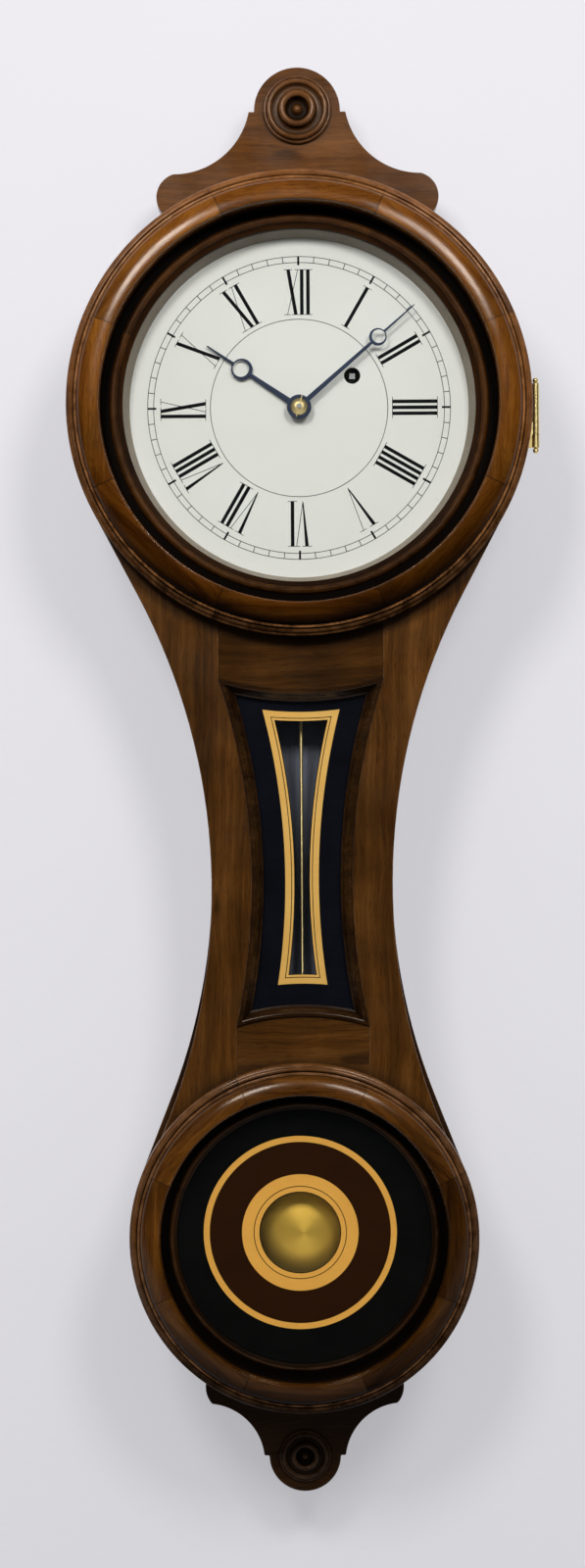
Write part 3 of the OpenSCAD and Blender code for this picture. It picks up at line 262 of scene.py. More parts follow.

# %% [markdown]
# ## Plain board inside
# The backboard, the dial's board and the baffle are rough-sawn and dusty, so the same streaks do,
# with less gloss and a deeper bump. The baffle, which shows in the tablet's slot, is painted
# paler and a little blue: painted light where little light reaches it, and a painted reflection
# of the room in the tablet glass. Their own meshes stay, so the grain follows the clock's upright.

# %% The inside board finish
def inside_board(name, dark, light):
    material, tree = finish(name, Specular_IOR_Level=0.25)
    standing = (0, math.radians(90), 0)
    grain = add(tree, "Mapping", {"Vector": place_in(tree), "Rotation": standing}).outputs[0]
    broad = streaks(tree, grain, 0.25, 0.012, 4)
    fine = streaks(tree, grain, 0.05, 0.0012, 2)
    figure = weighed(tree, (broad, 0.6), (fine, 0.4))
    wood = stepped(tree, span(tree, figure, 0.36, 0.64), (0.0, dark), (1.0, light))
    dust = span(tree, noise(tree, grain, 9.0, 4, 0.65), 0.45, 0.75, 0.0, 0.25)
    wood = mixed(tree, dust, wood, (0.10, 0.085, 0.07, 1))
    rough = span(tree, fine, 0.3, 0.7, 0.62, 0.80)
    return plugged(material, Base_Color=wood, Roughness=rough, Normal=bumped(tree, fine, 0.00025, 0.7))


back_board = inside_board("back_board", (0.060, 0.034, 0.017), (0.150, 0.090, 0.048))
inner_board = inside_board("inner_board", (0.012, 0.008, 0.006), (0.035, 0.022, 0.014))
# painted light and a painted reflection: the baffle is paler and bluer than bare board
baffle_painted_reflection = inside_board("baffle_painted_reflection", (0.120, 0.132, 0.175), (0.180, 0.194, 0.245))
print("inside boards:", back_board.name, inner_board.name, baffle_painted_reflection.name)

# %% [markdown]
# ## Brass, steel and iron
# Clock brass is a warm metal with fine lines left by the tool and brown tarnish in clouds. The
# lines are noise that is stretched one way. Blued steel was heated until a thin blue skin formed,
# so it is a dark blue metal with paler scratches.

# %% Metal finishes
def metal(name, colour, tarnish, rough, lines=(0.02, 0.0004), spread=0.35, bump=0.00003):
    material, tree = finish(name, Metallic=1.0)
    place = place_in(tree)
    brushed = streaks(tree, place, *lines)
    clouds = span(tree, noise(tree, place, 60.0, 4, 0.65), 0.40, 0.72, 0.0, spread)
    coat = mixed(tree, clouds, (*colour, 1), (*tarnish, 1))
    coat = mixed(tree, span(tree, brushed, 0.35, 0.65, 0.0, 0.22), coat, shaded(colour, 0.55))
    gloss = span(tree, brushed, 0.3, 0.7, rough - 0.06, rough + 0.09)
    return plugged(material, Base_Color=coat, Roughness=gloss, Normal=bumped(tree, brushed, bump, 0.5))


brass = metal("brass", (0.62, 0.46, 0.17), (0.26, 0.16, 0.06), 0.30)
plate_brass = metal("plate_brass", (0.58, 0.43, 0.17), (0.24, 0.15, 0.06), 0.36, (0.05, 0.0006))
hinge_brass = metal("hinge_brass", (0.92, 0.76, 0.34), (0.55, 0.40, 0.15), 0.36, (0.0006, 0.004), 0.4)
collet_brass = metal("collet_brass", (0.90, 0.72, 0.36), (0.55, 0.40, 0.17), 0.38, (0.02, 0.0003), 0.3)
steel = metal("steel", (0.40, 0.41, 0.42), (0.12, 0.10, 0.09), 0.34, (0.02, 0.0005))
blued_steel = metal("blued_steel", (0.045, 0.060, 0.102), (0.022, 0.027, 0.042), 0.34, (0.015, 0.0006), 0.5)
screw_steel = metal("screw_steel", (0.20, 0.21, 0.23), (0.09, 0.06, 0.04), 0.42, (0.003, 0.0006), 0.7)
weight_iron = metal("weight_iron", (0.055, 0.056, 0.060), (0.030, 0.022, 0.018), 0.55, (0.004, 0.003), 0.8,
                    0.0004)
print("metals:", brass.name, steel.name, blued_steel.name, weight_iron.name)

# %% [markdown]
# ## Glass and paint
# The glasses are clear, with a weak reflection that grows at a flat angle. A mix of a see-through
# shader and a glossy one by Fresnel shows that and keeps the inside bright. Light doesn't bend in
# this mix, so the far face of a sheet takes the inverse of the near one's index. With the same
# index it would turn into a mirror when seen from the side. The paints were brushed by hand, so
# a fine streak and small clouds vary each colour.

# %% Glass and paint finishes
GLASS_IOR = 1.45


def clear_glass(name):
    material = bpy.data.materials.new(name)
    tree = bare(material)
    waves = bumped(tree, noise(tree, place_in(tree), 14.0, 1), 0.0006, 0.35)
    through = add(tree, "BsdfTransparent", {"Color": (0.985, 0.992, 0.988, 1)})
    shine = add(tree, "BsdfGlossy", {"Color": (1, 1, 1, 1), "Roughness": 0.02, "Normal": waves})
    inside = add(tree, "NewGeometry").outputs["Backfacing"]
    edge = add(tree, "Fresnel", {"IOR": span(tree, inside, 0.0, 1.0, GLASS_IOR, 1 / GLASS_IOR)})
    both = add(tree, "MixShader", {0: edge.outputs[0], 1: through.outputs[0], 2: shine.outputs[0]})
    add(tree, "OutputMaterial", {"Surface": both.outputs[0]})
    return material


def paint(name, colour, other, rough=0.5, metallic=0.0, **constants):
    material, tree = finish(name, Metallic=metallic, **constants)
    place = place_in(tree)
    brushed = streaks(tree, place, 0.03, 0.0016)
    mix = weighed(tree, (brushed, 0.4), (noise(tree, place, 28.0, 4, 0.6), 0.6))
    colour = mixed(tree, span(tree, mix, 0.36, 0.64), (*colour, 1), (*other, 1))
    gloss = span(tree, brushed, 0.3, 0.7, rough - 0.06, rough + 0.08)
    return plugged(material, Base_Color=colour, Roughness=gloss, Normal=bumped(tree, mix, 0.00004, 0.5))


MATT = {"rough": 0.6, "Specular_IOR_Level": 0.02}
glass = clear_glass("old_glass")
# the blue tint of this black is a painted reflection of the room in the tablet glass; the lower glass's black has
# none
black_paint = paint("black_paint", (0.0022, 0.0024, 0.0042), (0.0050, 0.0056, 0.0105), **MATT)
lower_black = paint("lower_black", (0.0024, 0.0026, 0.0019), (0.0044, 0.0047, 0.0038), **MATT)
maroon_paint = paint("maroon_paint", (0.0270, 0.0086, 0.0018), (0.0340, 0.0108, 0.0024), **MATT)
gold_edge = paint("gold_edge", (0.055, 0.022, 0.008), (0.040, 0.016, 0.006), **MATT)
dial_ink = paint("dial_ink", (0.0045, 0.0045, 0.0050), (0.0090, 0.0090, 0.0095), **MATT)
gold_paint = paint("gold_paint", (1.0, 0.53, 0.092), (0.95, 0.48, 0.078), 0.48, 0.08)
gold_leaf = paint("gold_leaf", (1.0, 0.62, 0.17), (0.95, 0.54, 0.12), 0.42, 0.3)
# a painted sheen: the rod's brass is paler and less metallic than the rest, so it shows the bright line of its
# polish
rod_brass_painted_sheen = paint("rod_brass_painted_sheen", (1.0, 0.82, 0.42), (0.90, 0.68, 0.30), 0.36, 0.35)
print("paints:", gold_paint.name, maroon_paint.name, black_paint.name, "and", glass.name)

# %% [markdown]
# ## The dial's paint
# The dial is zinc under several coats of off-white paint, rubbed smooth. It is nearly one
# colour, so what makes it real is small: a slow yellowing, faint fine crazing and a satin gloss.

# %% The dial finish
def dial_finish():
    material, tree = finish("dial_paint", Specular_IOR_Level=0.4, Coat_Weight=0.12, Coat_Roughness=0.2)
    place = place_in(tree)
    toned = span(tree, noise(tree, place, 9.0, 4, 0.6), 0.35, 0.68)
    colour = mixed(tree, toned, (0.850, 0.860, 0.842, 1), (0.818, 0.826, 0.796, 1))
    crazed = add(tree, "TexVoronoi", {"Vector": place, "Scale": 260.0},
                 feature="DISTANCE_TO_EDGE").outputs["Distance"]
    cracks = span(tree, crazed, 0.0, 0.035, 0.10, 0.0)
    colour = mixed(tree, cracks, colour, (0.42, 0.38, 0.30, 1))
    specks = span(tree, noise(tree, place, 900.0, 1), 0.72, 0.80, 0, 0.35)
    colour = mixed(tree, specks, colour, (0.30, 0.26, 0.20, 1))
    gloss = span(tree, noise(tree, place, 40.0, 2), 0.3, 0.7, 0.36, 0.46)
    return plugged(material, Base_Color=colour, Roughness=gloss,
                   Normal=bumped(tree, noise(tree, place, 350.0, 2), 0.00003, 0.4))


dial_paint = dial_finish()
print("dial:", dial_paint.name)

# %% [markdown]
# ## Keeping a piece
# Every piece that is made rides on a body, so that it moves with it, and hides the plain solid
# that it stands for.

# %% Helpers that make a piece
def keep(piece, body, slot, *nodes):
    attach(piece, body)
    if nodes:
        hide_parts(*nodes)
    return piece


def meshed(name, form):
    """The mesh of a form, which is used up by this."""
    mesh = bpy.data.meshes.new(name)
    form.to_mesh(mesh)
    form.free()
    return mesh


def placed(name, data, *finishes):
    """A new object in the scene: a piece, a lamp or the camera."""
    piece = bpy.data.objects.new(name, data)
    bpy.context.scene.collection.objects.link(piece)
    for each in finishes:
        data.materials.append(each)
    return piece


print("pieces can be kept")

# %% [markdown]
# ## Boards with eased edges
# No edge of a worked board is sharp: sandpaper eases it, and years of dusting wear its varnish.
# The solids have the right outlines, so a copy is taken of each, its flat facets are joined, and
# its edges get a small rounded bevel, whose corners carry the worn attribute. Each point carries
# the grain attribute: along the board, across it and through.

# %% A board copied with eased edges
FACET = math.radians(0.6)  # faces that meet at less than this are one flat or one curve
CREASE = math.radians(50)


def islands(form):
    """The separate closed bodies of a mesh, each as a list of its points."""
    seen, groups = set(), []
    for first in form.verts:
        if first in seen:
            continue
        seen.add(first)
        group = [first]
        for point in group:
            near = {edge.other_vert(point): None for edge in point.link_edges}
            group += [other for other in near if other not in seen]
            seen.update(near)
        groups.append(group)
    return groups


def copied(node):
    """A form with the shape of a node."""
    form = bmesh.new()
    form.from_mesh(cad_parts[node].data)
    bmesh.ops.remove_doubles(form, verts=form.verts, dist=WELD)
    return form


def eased(name, node, body, slot, material, along, ease=0.6, worn=0.8, turn=28, tone=0.0):
    """A copy of a node with eased edges; along turns a point and its body's middle into grain."""
    form = copied(node)
    bmesh.ops.dissolve_limit(form, angle_limit=FACET, verts=form.verts, edges=form.edges)
    sharp = [e for e in form.edges if len(e.link_faces) == 2 and e.calc_face_angle(0) > math.radians(turn)]
    rubbed = form.loops.layers.float.new("worn")
    cut = bmesh.ops.bevel(form, geom=sharp, offset=ease * MM, offset_type="OFFSET", segments=2, profile=0.5,
                          affect="EDGES", clamp_overlap=True)
    for face in cut["faces"]:
        narrow = min(edge.calc_length() for edge in face.edges) < 1.5 * ease * MM
        for loop in face.loops:
            loop[rubbed] = worn if narrow and len(face.verts) < 5 else 0.0
    form.normal_update()
    grain = form.verts.layers.float_vector.new("grain")
    toned = form.verts.layers.float.new("tone")
    for group in islands(form):
        middle = sum((p.co for p in group), Vector()) / len(group)
        start = Vector([random.uniform(-3, 3) for _ in range(3)])
        for point in group:
            point[grain] = along(point.co, middle) + start
            point[toned] = tone
    for face in form.faces:
        face.smooth = abs(face.normal.y) < 0.999
    mesh = meshed(name, form)
    mesh.set_sharp_from_angle(angle=CREASE)
    piece = placed(name, mesh, material)
    piece.modifiers.new("even", "WEIGHTED_NORMAL").keep_sharp = True
    return keep(piece, body, slot, node)


def upright(point, middle):
    return Vector((point.z, point.x, point.y))


def level(point, middle):
    return Vector((point.x, point.z, point.y))


def round_about(centre, r):
    """Grain that runs round a centre and keeps its length at a radius, in metres."""
    def along(point, middle):
        arm = point - centre
        return Vector((math.atan2(arm.x, arm.z) * r, arm.y, math.hypot(arm.x, arm.z)))
    return along


print("boards can be eased")

# %% [markdown]
# ## The case's boards
# The crest and the bracket are sawn from boards with level grain. The waist's front is a frame:
# two stiles with upright grain and two rails with level grain. The drums are staved and veneered
# round, and the bent side boards of the waist run upright.

# %% Case boards
BOARDS = (
    ("crest", "crest_board", "case_wood", "crest", level, 1.0, 0.45),
    ("bracket", "bottom_bracket", "case_wood", "bracket", level, 1.0, 0.45, 28, -0.65),
    ("left_stile", "stile_left", "panel_wood", "panel", upright, 0.7, 0.7),
    ("right_stile", "stile_right", "panel_wood", "panel", upright, 0.7, 0.7),
    # the upper rail's tone of -0.3 is a painted shadow of the door ring
    ("upper_rail", "top_rail", "panel_wood", "panel", level, 0.25, 0.15, 28, -0.3),
    ("lower_rail", "bottom_rail", "panel_wood", "panel", level, 0.25, 0.15),
    ("left_side", "waist_side_left", "case_wood", "side", upright, 0.8, 1.0),
    ("right_side", "waist_side_right", "case_wood", "side", upright, 0.8, 1.0),
    ("dial_drum", "upper_drum", "case_wood", "side", round_about(DIAL, 0.17), 0.4, 0.4),
    ("bob_drum", "lower_drum", "case_wood", "side", round_about(LOWER, 0.13), 0.4, 0.4),
)
for name, node, slot, wood, along, *more in BOARDS:
    board = eased(name, node, "case", slot, WALNUT[wood], along, *more)
    print(board.name, len(board.data.polygons), "faces")

# %% [markdown]
# ## The moulding round the tablet
# Four bent lengths with one profile, mitred at the corners and polished nearly black. The grain
# of each runs along it: the two long ones stand upright and the short ones lie level.

# %% Tablet moulding
def along_moulding(point, middle):
    return upright(point, middle) if abs(middle.x) > 0.01 else level(point, middle)


moulding = eased("tablet_frame", "tablet_moulding", "case", "panel_wood", WALNUT["trim"], along_moulding,
                 0.25, 0.5, 20, -0.3)
print(moulding.name, len(moulding.data.polygons), "faces")

# %% [markdown]
# ## Profiles for the lathe
# A turned piece is drawn as half a section: points that give the radius, the depth, how much
# that place is rubbed, and how dark it is from dirt and painted shade in its hollows. The wide
# round of a ring isn't a half circle: it stands highest near its inner edge and falls away slowly
# to the outside, so it is two quarters of ellipses.

# %% Arcs of a profile
def arc(radius, depth, r, start, end, steps, worn=0.0, grime_and_shade=0.0, high=None):
    """Points of an arc, or of an ellipse when high is given; 0 degrees is outwards, 90 to the front."""
    high = r if high is None else high
    turns = [math.radians(start + (end - start) * i / steps) for i in range(steps + 1)]
    return [(radius + r * math.cos(a), depth + high * math.sin(a), worn, grime_and_shade) for a in turns]


def ring_profile(r, inner, high, bead, lip):
    """The section of a ring: rim, bead, fillet, wide round, sunk band, inner bead, lip and rebate."""
    torus, sunk = r - 8.5, inner + 6.5
    peak = sunk + 1.9
    edge = inner - bead
    sight = edge - lip
    front, deep = CASE_FRONT + 19, CASE_FRONT + 3
    section = [(r, CASE_FRONT, 0, 0), (r, front - 7.2, 0.1, 0)]
    section += arc(r - 2.4, front - 6.4, 2.4, 10, 84, 5, 0.5)
    section += [(r - 2.15, front - 4.0, 0, 0.85)]
    section += arc(r - 4.05, front - 3.8, 1.9, 0, 180, 10, 0.32)
    section += [(r - 6.0, front - 4.1, 0, 0.95), (r - 6.1, front - 3.6, 0, 0.7), (r - 6.1, front - 0.7, 0.4, 0)]
    section += arc(r - 6.7, front - 0.55, 0.55, 10, 90, 3, 1.0)
    section += [(r - 7.9, front, 0.8, 0), (r - 8.3, front - 0.15, 0.1, 0.6), (r - 8.52, front - 0.5, 0, 0.95)]
    section += arc(peak, front, torus - peak, 3, 90, 24, high=high)
    section += arc(peak, front, peak - sunk, 96, 176, 10, high=high)
    section += [(sunk, front - 1.0, 0, 0.6), (sunk, front - 4.0, 0, 0.9), (sunk, deep + 1, 0, 1)]
    section += [(sunk - 0.8, deep, 0, 1), (inner + 0.5, deep, 0, 1)]
    section += arc(inner - bead / 2, deep, bead / 2, 8, 172, 14, 0.10, 0.68)
    section += [(edge - 0.3, deep - 0.1, 0, 0.9), (sight + 0.5, deep - 1.35, 0, 0.8), (sight, deep - 1.7, 0, 0.9)]
    section += [(sight, deep - 2.5, 0, 1), (sight + 4.6, deep - 2.5, 0, 0.8), (sight + 4.6, deep - 8, 0, 0.6)]
    return section + [(sight + 12.6, deep - 8, 0, 0.2), (sight + 12.6, CASE_FRONT, 0, 0.4)]


DOOR_SECTION = ring_profile(UPPER_R, inner=145.3, high=8, bead=5.8, lip=4.2)
LOWER_SECTION = ring_profile(LOWER_R, inner=102.7, high=7, bead=2.6, lip=2.4)
print("ring profile points:", len(DOOR_SECTION))

# %% [markdown]
# ## Rings built up from segments
# A ring this wide can't be cut from one board without weak short grain, so the maker glues eight
# segments end to end and turns them on a faceplate. Each keeps its own straight grain and tone,
# and a fine dark line shows at each joint. Painted shade darkens each ring towards its bottom, most
# of all on its outer flank there, and the right and lower right segments of both rings are set
# darker as painted shade too. Here each segment is a closed body: the profile swept through 45
# degrees, with a cap at each end.

# %% The ring of segments
SEGMENT, HALF = 45, 22.49  # half a segment is a hair short, so that a joint shows
# painted shade: the share of the rings' colour taken away at their bottoms
DEEPEST_SHADE = 0.93


def sweep(form, layers, centre, section, start, end, steps, caps=True, grain=None, tone=None, seam=0.0):
    """Sweeps a section about a centre between two clockwise angles in degrees."""
    rows = []
    for i, place in enumerate(steps):
        a = math.radians(start + (end - start) * place)
        side = Vector((math.sin(a), 0, math.cos(a)))
        row = []
        for radius, depth, worn, grime_and_shade in section:
            point = form.verts.new(centre + side * radius * MM + Vector((0, -depth, 0)) * MM)
            point[layers["worn"]] = worn
            point[layers["grime_and_shade"]] = max(grime_and_shade, seam if caps and i in (0, len(steps) - 1) else 0)
            point[layers["tone"]] = tone(point.co) if tone else 0.0
            point[layers["grain"]] = grain(point.co) if grain else point.co
            row.append(point)
        rows.append(row)
    count = len(section)
    for low, high in zip(rows, rows[1:] if caps else rows[1:] + rows[:1]):
        for j in range(count):
            k = (j + 1) % count
            form.faces.new((low[j], high[j], high[k], low[k]))
    if caps:
        form.faces.new(rows[0])
        form.faces.new(list(reversed(rows[-1])))


def new_form():
    form = bmesh.new()
    layers = {name: form.verts.layers.float.new(name) for name in ("worn", "grime_and_shade", "tone")}
    layers["grain"] = form.verts.layers.float_vector.new("grain")
    return form, layers


def set_down(name, form, material, crease=None):
    """Turns a form into an object with outward faces, smooth up to a crease if one is given."""
    bmesh.ops.recalc_face_normals(form, faces=form.faces)
    for face in form.faces:
        face.smooth = crease is not None
    mesh = meshed(name, form)
    if crease is not None:
        mesh.set_sharp_from_angle(angle=math.radians(crease))
    return placed(name, mesh, material)


def turned(name, centre, section, material, count, crease, grain=None, tone=None, weld=WELD):
    """A section swept all the way round its axis."""
    form, layers = new_form()
    sweep(form, layers, centre, section, 0, 360, [i / count for i in range(count)], False, grain, tone)
    bmesh.ops.remove_doubles(form, verts=form.verts, dist=weld)
    return set_down(name, form, material, crease)


def segmented_ring(name, centre, section, material, tones):
    form, layers = new_form()
    inside = min(point[0] for point in section) + 14
    even = [0.0, 0.006] + [i / 20 for i in range(1, 20)] + [0.994, 1.0]
    for k, tone in enumerate(tones):
        a = math.radians(SEGMENT * k)
        run, out = Vector((math.cos(a), 0, -math.sin(a))), Vector((math.sin(a), 0, math.cos(a)))
        offset = Vector([random.uniform(-4, 4) for _ in range(3)])

        def grain(point, run=run, out=out, offset=offset):
            arm = point - centre
            return Vector((arm.dot(run), arm.dot(out), arm.y)) + offset

        def toned(point, tone=tone):
            """The segment's tone, with painted shade that darkens the ring's bottom and most of all its outside."""
            arm = (point - centre) / MM
            low = min(max(0.10 - 1.25 * arm.z / arm.length, 0.0), 1.0)
            out = min(max((math.hypot(arm.x, arm.z) - inside) / 18, 0.12), 1.0) if arm.y < -105 else 1.0
            return (1 + tone) * (1 - DEEPEST_SHADE * (0.35 + 0.65 * out) * low * low * (3 - 2 * low)) - 1

        sweep(form, layers, centre, section, SEGMENT * k - HALF, SEGMENT * k + HALF, even, True, grain, toned, 0.7)
    return set_down(name, form, material, 35)


print("segments can be swept")

# %% The two rings
# segment tones vary a little; the darker right and lower right segments are painted shade
door = segmented_ring("door_ring_wood", DIAL, DOOR_SECTION, WALNUT["ring"],
                      (0.04, 0.0, -0.08, -0.22, -0.06, 0.0, -0.10, 0.0))
lower = segmented_ring("lower_ring_wood", LOWER, LOWER_SECTION, WALNUT["lower_ring"],
                       (0.0, 0.0, -0.42, -0.42, -0.10, -0.10, -0.10, 0.0))
print("door ring", len(door.data.polygons), "faces, lower ring", len(lower.data.polygons), "faces")

# %% [markdown]
# ## Recesses at the back of the door
# The hinge's leaf and the catch's plate are let into the back of the door ring, so that the door
# shuts flush. Two small blocks cut those recesses, as a chisel would.

# %% Cutting the recesses
PLAY = 0.0001  # the room round a plate in its recess, in metres


def let_in(piece, low, high):
    """Cuts the block between two corners out of a piece."""
    form = bmesh.new()
    bmesh.ops.create_cube(form, size=1.0)
    low, high = Vector(low), Vector(high)
    for point in form.verts:
        point.co = Vector([(low[i] + high[i]) / 2 + point.co[i] * (high[i] - low[i]) for i in range(3)])
    tool = placed("recess", meshed("recess", form))
    cut = piece.modifiers.new("recess", "BOOLEAN")
    cut.operation, cut.solver, cut.object = "DIFFERENCE", "EXACT", tool
    bpy.context.view_layer.update()
    piece.data = bpy.data.meshes.new_from_object(piece.evaluated_get(bpy.context.evaluated_depsgraph_get()))
    piece.modifiers.clear()
    bpy.data.objects.remove(tool)
    print("faces after a recess:", len(piece.data.polygons))


leaf_low, leaf_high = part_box("hinge_door_leaf")
let_in(door, (leaf_low.x - PLAY, -0.1096, leaf_low.z - PLAY), (0.190, -0.100, leaf_high.z + PLAY))
catch_low, catch_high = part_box("door_catch")
around = Vector((2 * PLAY, PLAY, 2 * PLAY))
let_in(door, catch_low - around, catch_high + around)
keep(door, "door", "ring_wood", "door_ring")
keep(lower, "case", "ring_wood", "lower_ring")

# %% [markdown]
# ## Rosettes
# Each rosette is one small turning: an outer bead, a second bead, a hollow, a raised ring and a
# button in its middle. One closed section is swept all the way round.

# %% Turned rosettes
ROSETTE_R = 26.7
CREST_UP, BRACKET_DOWN = 239.5, 181


def rosette(name, node, centre, r, material, tone=0.0):
    k = r / ROSETTE_R
    section = [(0.001, 0, 0, 0), (ROSETTE_R, 0, 0, 0), (ROSETTE_R, 1.6, 0, 0)]
    section += arc(25.4, 2.0, 1.3, 0, 150, 6, 0.35)
    section += [(24.1, 2.3, 0, 0.8)]
    section += arc(22.0, 3.6, 2.1, -10, 190, 12, 0.30)
    section += [(19.2, 2.9, 0, 0.8), (17.6, 2.6, 0, 0.45), (15.6, 2.9, 0, 0.35)]
    section += [(14.5, 3.5, 0, 0.6), (14.3, 5.4, 0, 0.1)]
    section += arc(11.9, 6.2, 2.45, 0, 180, 14, 0.35)
    section += [(9.3, 4.2, 0, 0.5), (8.6, 2.4, 0, 0.9), (5.6, 1.9, 0, 0.9), (4.4, 2.0, 0, 0.85)]
    section += arc(0.0, 2.0, 3.9, 25, 89.9, 7, 0.25)
    section = [(x * k, BOARD_FRONT + d * k, w, g) for x, d, w, g in section]
    shift = Vector([random.uniform(-2, 2) for _ in range(3)])
    piece = turned(name, centre, section, material, 72, 60, lambda p: level(p, centre) + shift, lambda p: tone)
    return keep(piece, "case", "case_wood", node)


crest_rosette = rosette("crest_rosette", "top_rosette", drawn(DIAL, 0, CREST_UP, 0), ROSETTE_R, WALNUT["crest"])
bracket_rosette = rosette("bracket_rosette", "bottom_rosette", drawn(LOWER, 0, -BRACKET_DOWN, 0), 20.2,
                          WALNUT["bracket"], -0.6)
print("rosettes:", crest_rosette.name, bracket_rosette.name)

# %% [markdown]
# ## Flat shapes: print, paint and thin bands
# The dial's print and the paint behind the glasses are closed bodies less than a tenth of a
# millimetre thick: patches inside one outline, and bands between two outlines that have the same
# number of points.

# %% Patches and bands
def patch(form, centre, corners, front, back):
    near = [form.verts.new(drawn(centre, x, z, front)) for x, z in corners]
    far = [form.verts.new(drawn(centre, x, z, back)) for x, z in corners]
    form.faces.new(near)
    form.faces.new(list(reversed(far)))
    for i in range(len(corners)):
        j = (i + 1) % len(corners)
        form.faces.new((near[j], near[i], far[i], far[j]))


def band(form, centre, outer, inner, front, back):
    count = len(outer)
    loops = [[form.verts.new(drawn(centre, x, z, depth)) for x, z in line]
             for line, depth in ((outer, front), (inner, front), (inner, back), (outer, back))]
    for one, two in zip(loops, loops[1:] + loops[:1]):
        for i in range(count):
            j = (i + 1) % count
            form.faces.new((one[i], one[j], two[j], two[i]))


def coats(prefix, centre, depths, outlines, *layers):
    """Bands of paint on the case, each between one outline and the next."""
    pieces = []
    for (name, material), outer, inner in zip(layers, outlines, outlines[1:]):
        form = bmesh.new()
        band(form, centre, outer, inner, *depths)
        pieces.append(keep(set_down(prefix + name, form, material), "case", "dial_paint"))
    return pieces


def circle(r, steps=180, x=0.0, z=0.0):
    return [(x + r * math.sin(2 * math.pi * i / steps), z + r * math.cos(2 * math.pi * i / steps))
            for i in range(steps)]


print("patches and bands ready")

# %% [markdown]
# ## Roman numerals
# The numerals stand with their feet to the middle. A thick stroke is 2.75 mm wide, a thin one a
# hairline, and a serif closes each end. Every numeral is drawn once with x to its right and y
# outwards, and then turned to its hour.

# %% Strokes of a numeral
FOOT, TOP = 72.1, 106.8
THICK, THIN, SERIF = 2.75, 0.50, 0.48


def stroke(x_top, x_foot, width):
    half = width / 2
    return [(x_top - half, TOP), (x_top + half, TOP), (x_foot + half, FOOT), (x_foot - half, FOOT)]


def serif(x_low, x_high, at):
    out = SERIF / 2
    return [(x_low, at + out), (x_high, at + out), (x_high, at - out), (x_low, at - out)]


def letter_i(*places):
    low, high = min(places) - THICK / 2 - 2.2, max(places) + THICK / 2 + 2.2
    return [stroke(x, x, THICK) for x in places] + [serif(low, high, TOP), serif(low, high, FOOT)]


def letter_v(x, wide):
    apex = x + wide * 0.35
    fork = FOOT + (TOP - FOOT) * 0.06
    thick = [(x - THICK / 2, TOP), (x + THICK / 2, TOP), (apex + 0.55, fork), (apex + 0.1, FOOT),
             (apex - 0.35, fork)]
    thin = stroke(x + wide, apex + 0.2, THIN)
    return [thick, thin, serif(x - 3.7, x + 3.7, TOP), serif(x + wide - 2.6, x + wide + 3.1, TOP)]


def letter_x(x):
    return [stroke(x, x + 5.9, THICK), stroke(x + 7.4, x - 0.5, THIN),
            serif(x - 3.3, x + 3.3, TOP), serif(x + 5.0, x + 9.9, TOP),
            serif(x + 2.6, x + 9.2, FOOT), serif(x - 3.0, x + 1.9, FOOT)]


NUMERALS = {
    1: letter_i(0), 2: letter_i(-2.3, 2.3), 3: letter_i(-4.6, 0, 4.6), 4: letter_i(-6.9, -2.3, 2.3, 6.9),
    5: letter_v(-4.7, 9.4), 6: letter_v(-5.5, 8.0) + letter_i(5.6),
    7: letter_v(-7.8, 8.0) + letter_i(3.3, 7.9), 8: letter_v(-10.1, 8.0) + letter_i(1.0, 5.6, 10.2),
    9: letter_i(-6.0) + letter_x(-2.1), 10: letter_x(-3.4),
    11: letter_x(-5.3) + letter_i(5.3), 12: letter_x(-7.9) + letter_i(2.6, 7.4),
}
print("numerals drawn:", len(NUMERALS))

# %% [markdown]
# ## The dial's print
# A track of sixty minutes between two fine circles, bolder marks at the fives, the numerals and
# one fine circle inside them. All of it is one ink, printed 0.05 mm proud of the paint.

# %% Printing the dial
INK = 91.55, 91.49
TRACK_OUT, TRACK_IN, INNER_CIRCLE = 116.9, 112.3, 68.5


def printed():
    form = bmesh.new()
    for r in (TRACK_OUT, TRACK_IN, INNER_CIRCLE):
        band(form, DIAL, circle(r + 0.25, 240), circle(r - 0.25, 240), *INK)
    for minute in range(60):
        a = math.radians(6 * minute)
        bold = minute % 5 == 0
        half, low, high = (0.80, 110.2, 117.2) if bold else (0.29, TRACK_IN, TRACK_OUT)
        shapes = [[(-half, high), (half, high), (half, low), (-half, low)]]
        if bold:
            shapes += NUMERALS[minute // 5 or 12]
        for corners in shapes:
            patch(form, DIAL, [(x * math.cos(a) + y * math.sin(a), y * math.cos(a) - x * math.sin(a))
                               for x, y in corners], *INK)
    return set_down("dial_print", form, dial_ink)


dial_print = keep(printed(), "case", "dial_paint")
print("dial print faces:", len(dial_print.data.polygons))

# %% [markdown]
# ## The rim round the dial
# Between the dial and the glass a narrow sloping rim closes the gap, painted a warm grey. It
# shows as a band that is dark at the top, where the ring shades it, and pale at the bottom.

# %% Dial rim
RIM = [(130.9, 91.45, 0, 0), (133.1, 91.45, 0, 0), (137.2, 102.3, 0, 0), (136.9, 102.6, 0, 0),
       (135.6, 102.45, 0, 0)]
rim_paint = paint("rim_paint", (0.30, 0.255, 0.20), (0.22, 0.18, 0.135))
rim = keep(turned("dial_rim", DIAL, RIM, rim_paint, 144, 30), "case", "dial_paint")
print("rim faces:", len(rim.data.polygons))

# %% [markdown]
# ## Paint behind the lower glass
# Seven flat rings are painted on the back of the round glass: black to the edge, a gold ring,
# maroon, a wide gold band that is split by a fine dark line, and a dark edge round the clear
# window over the bob. The painter's centre is a few millimetres off the ring's, as hand work is.

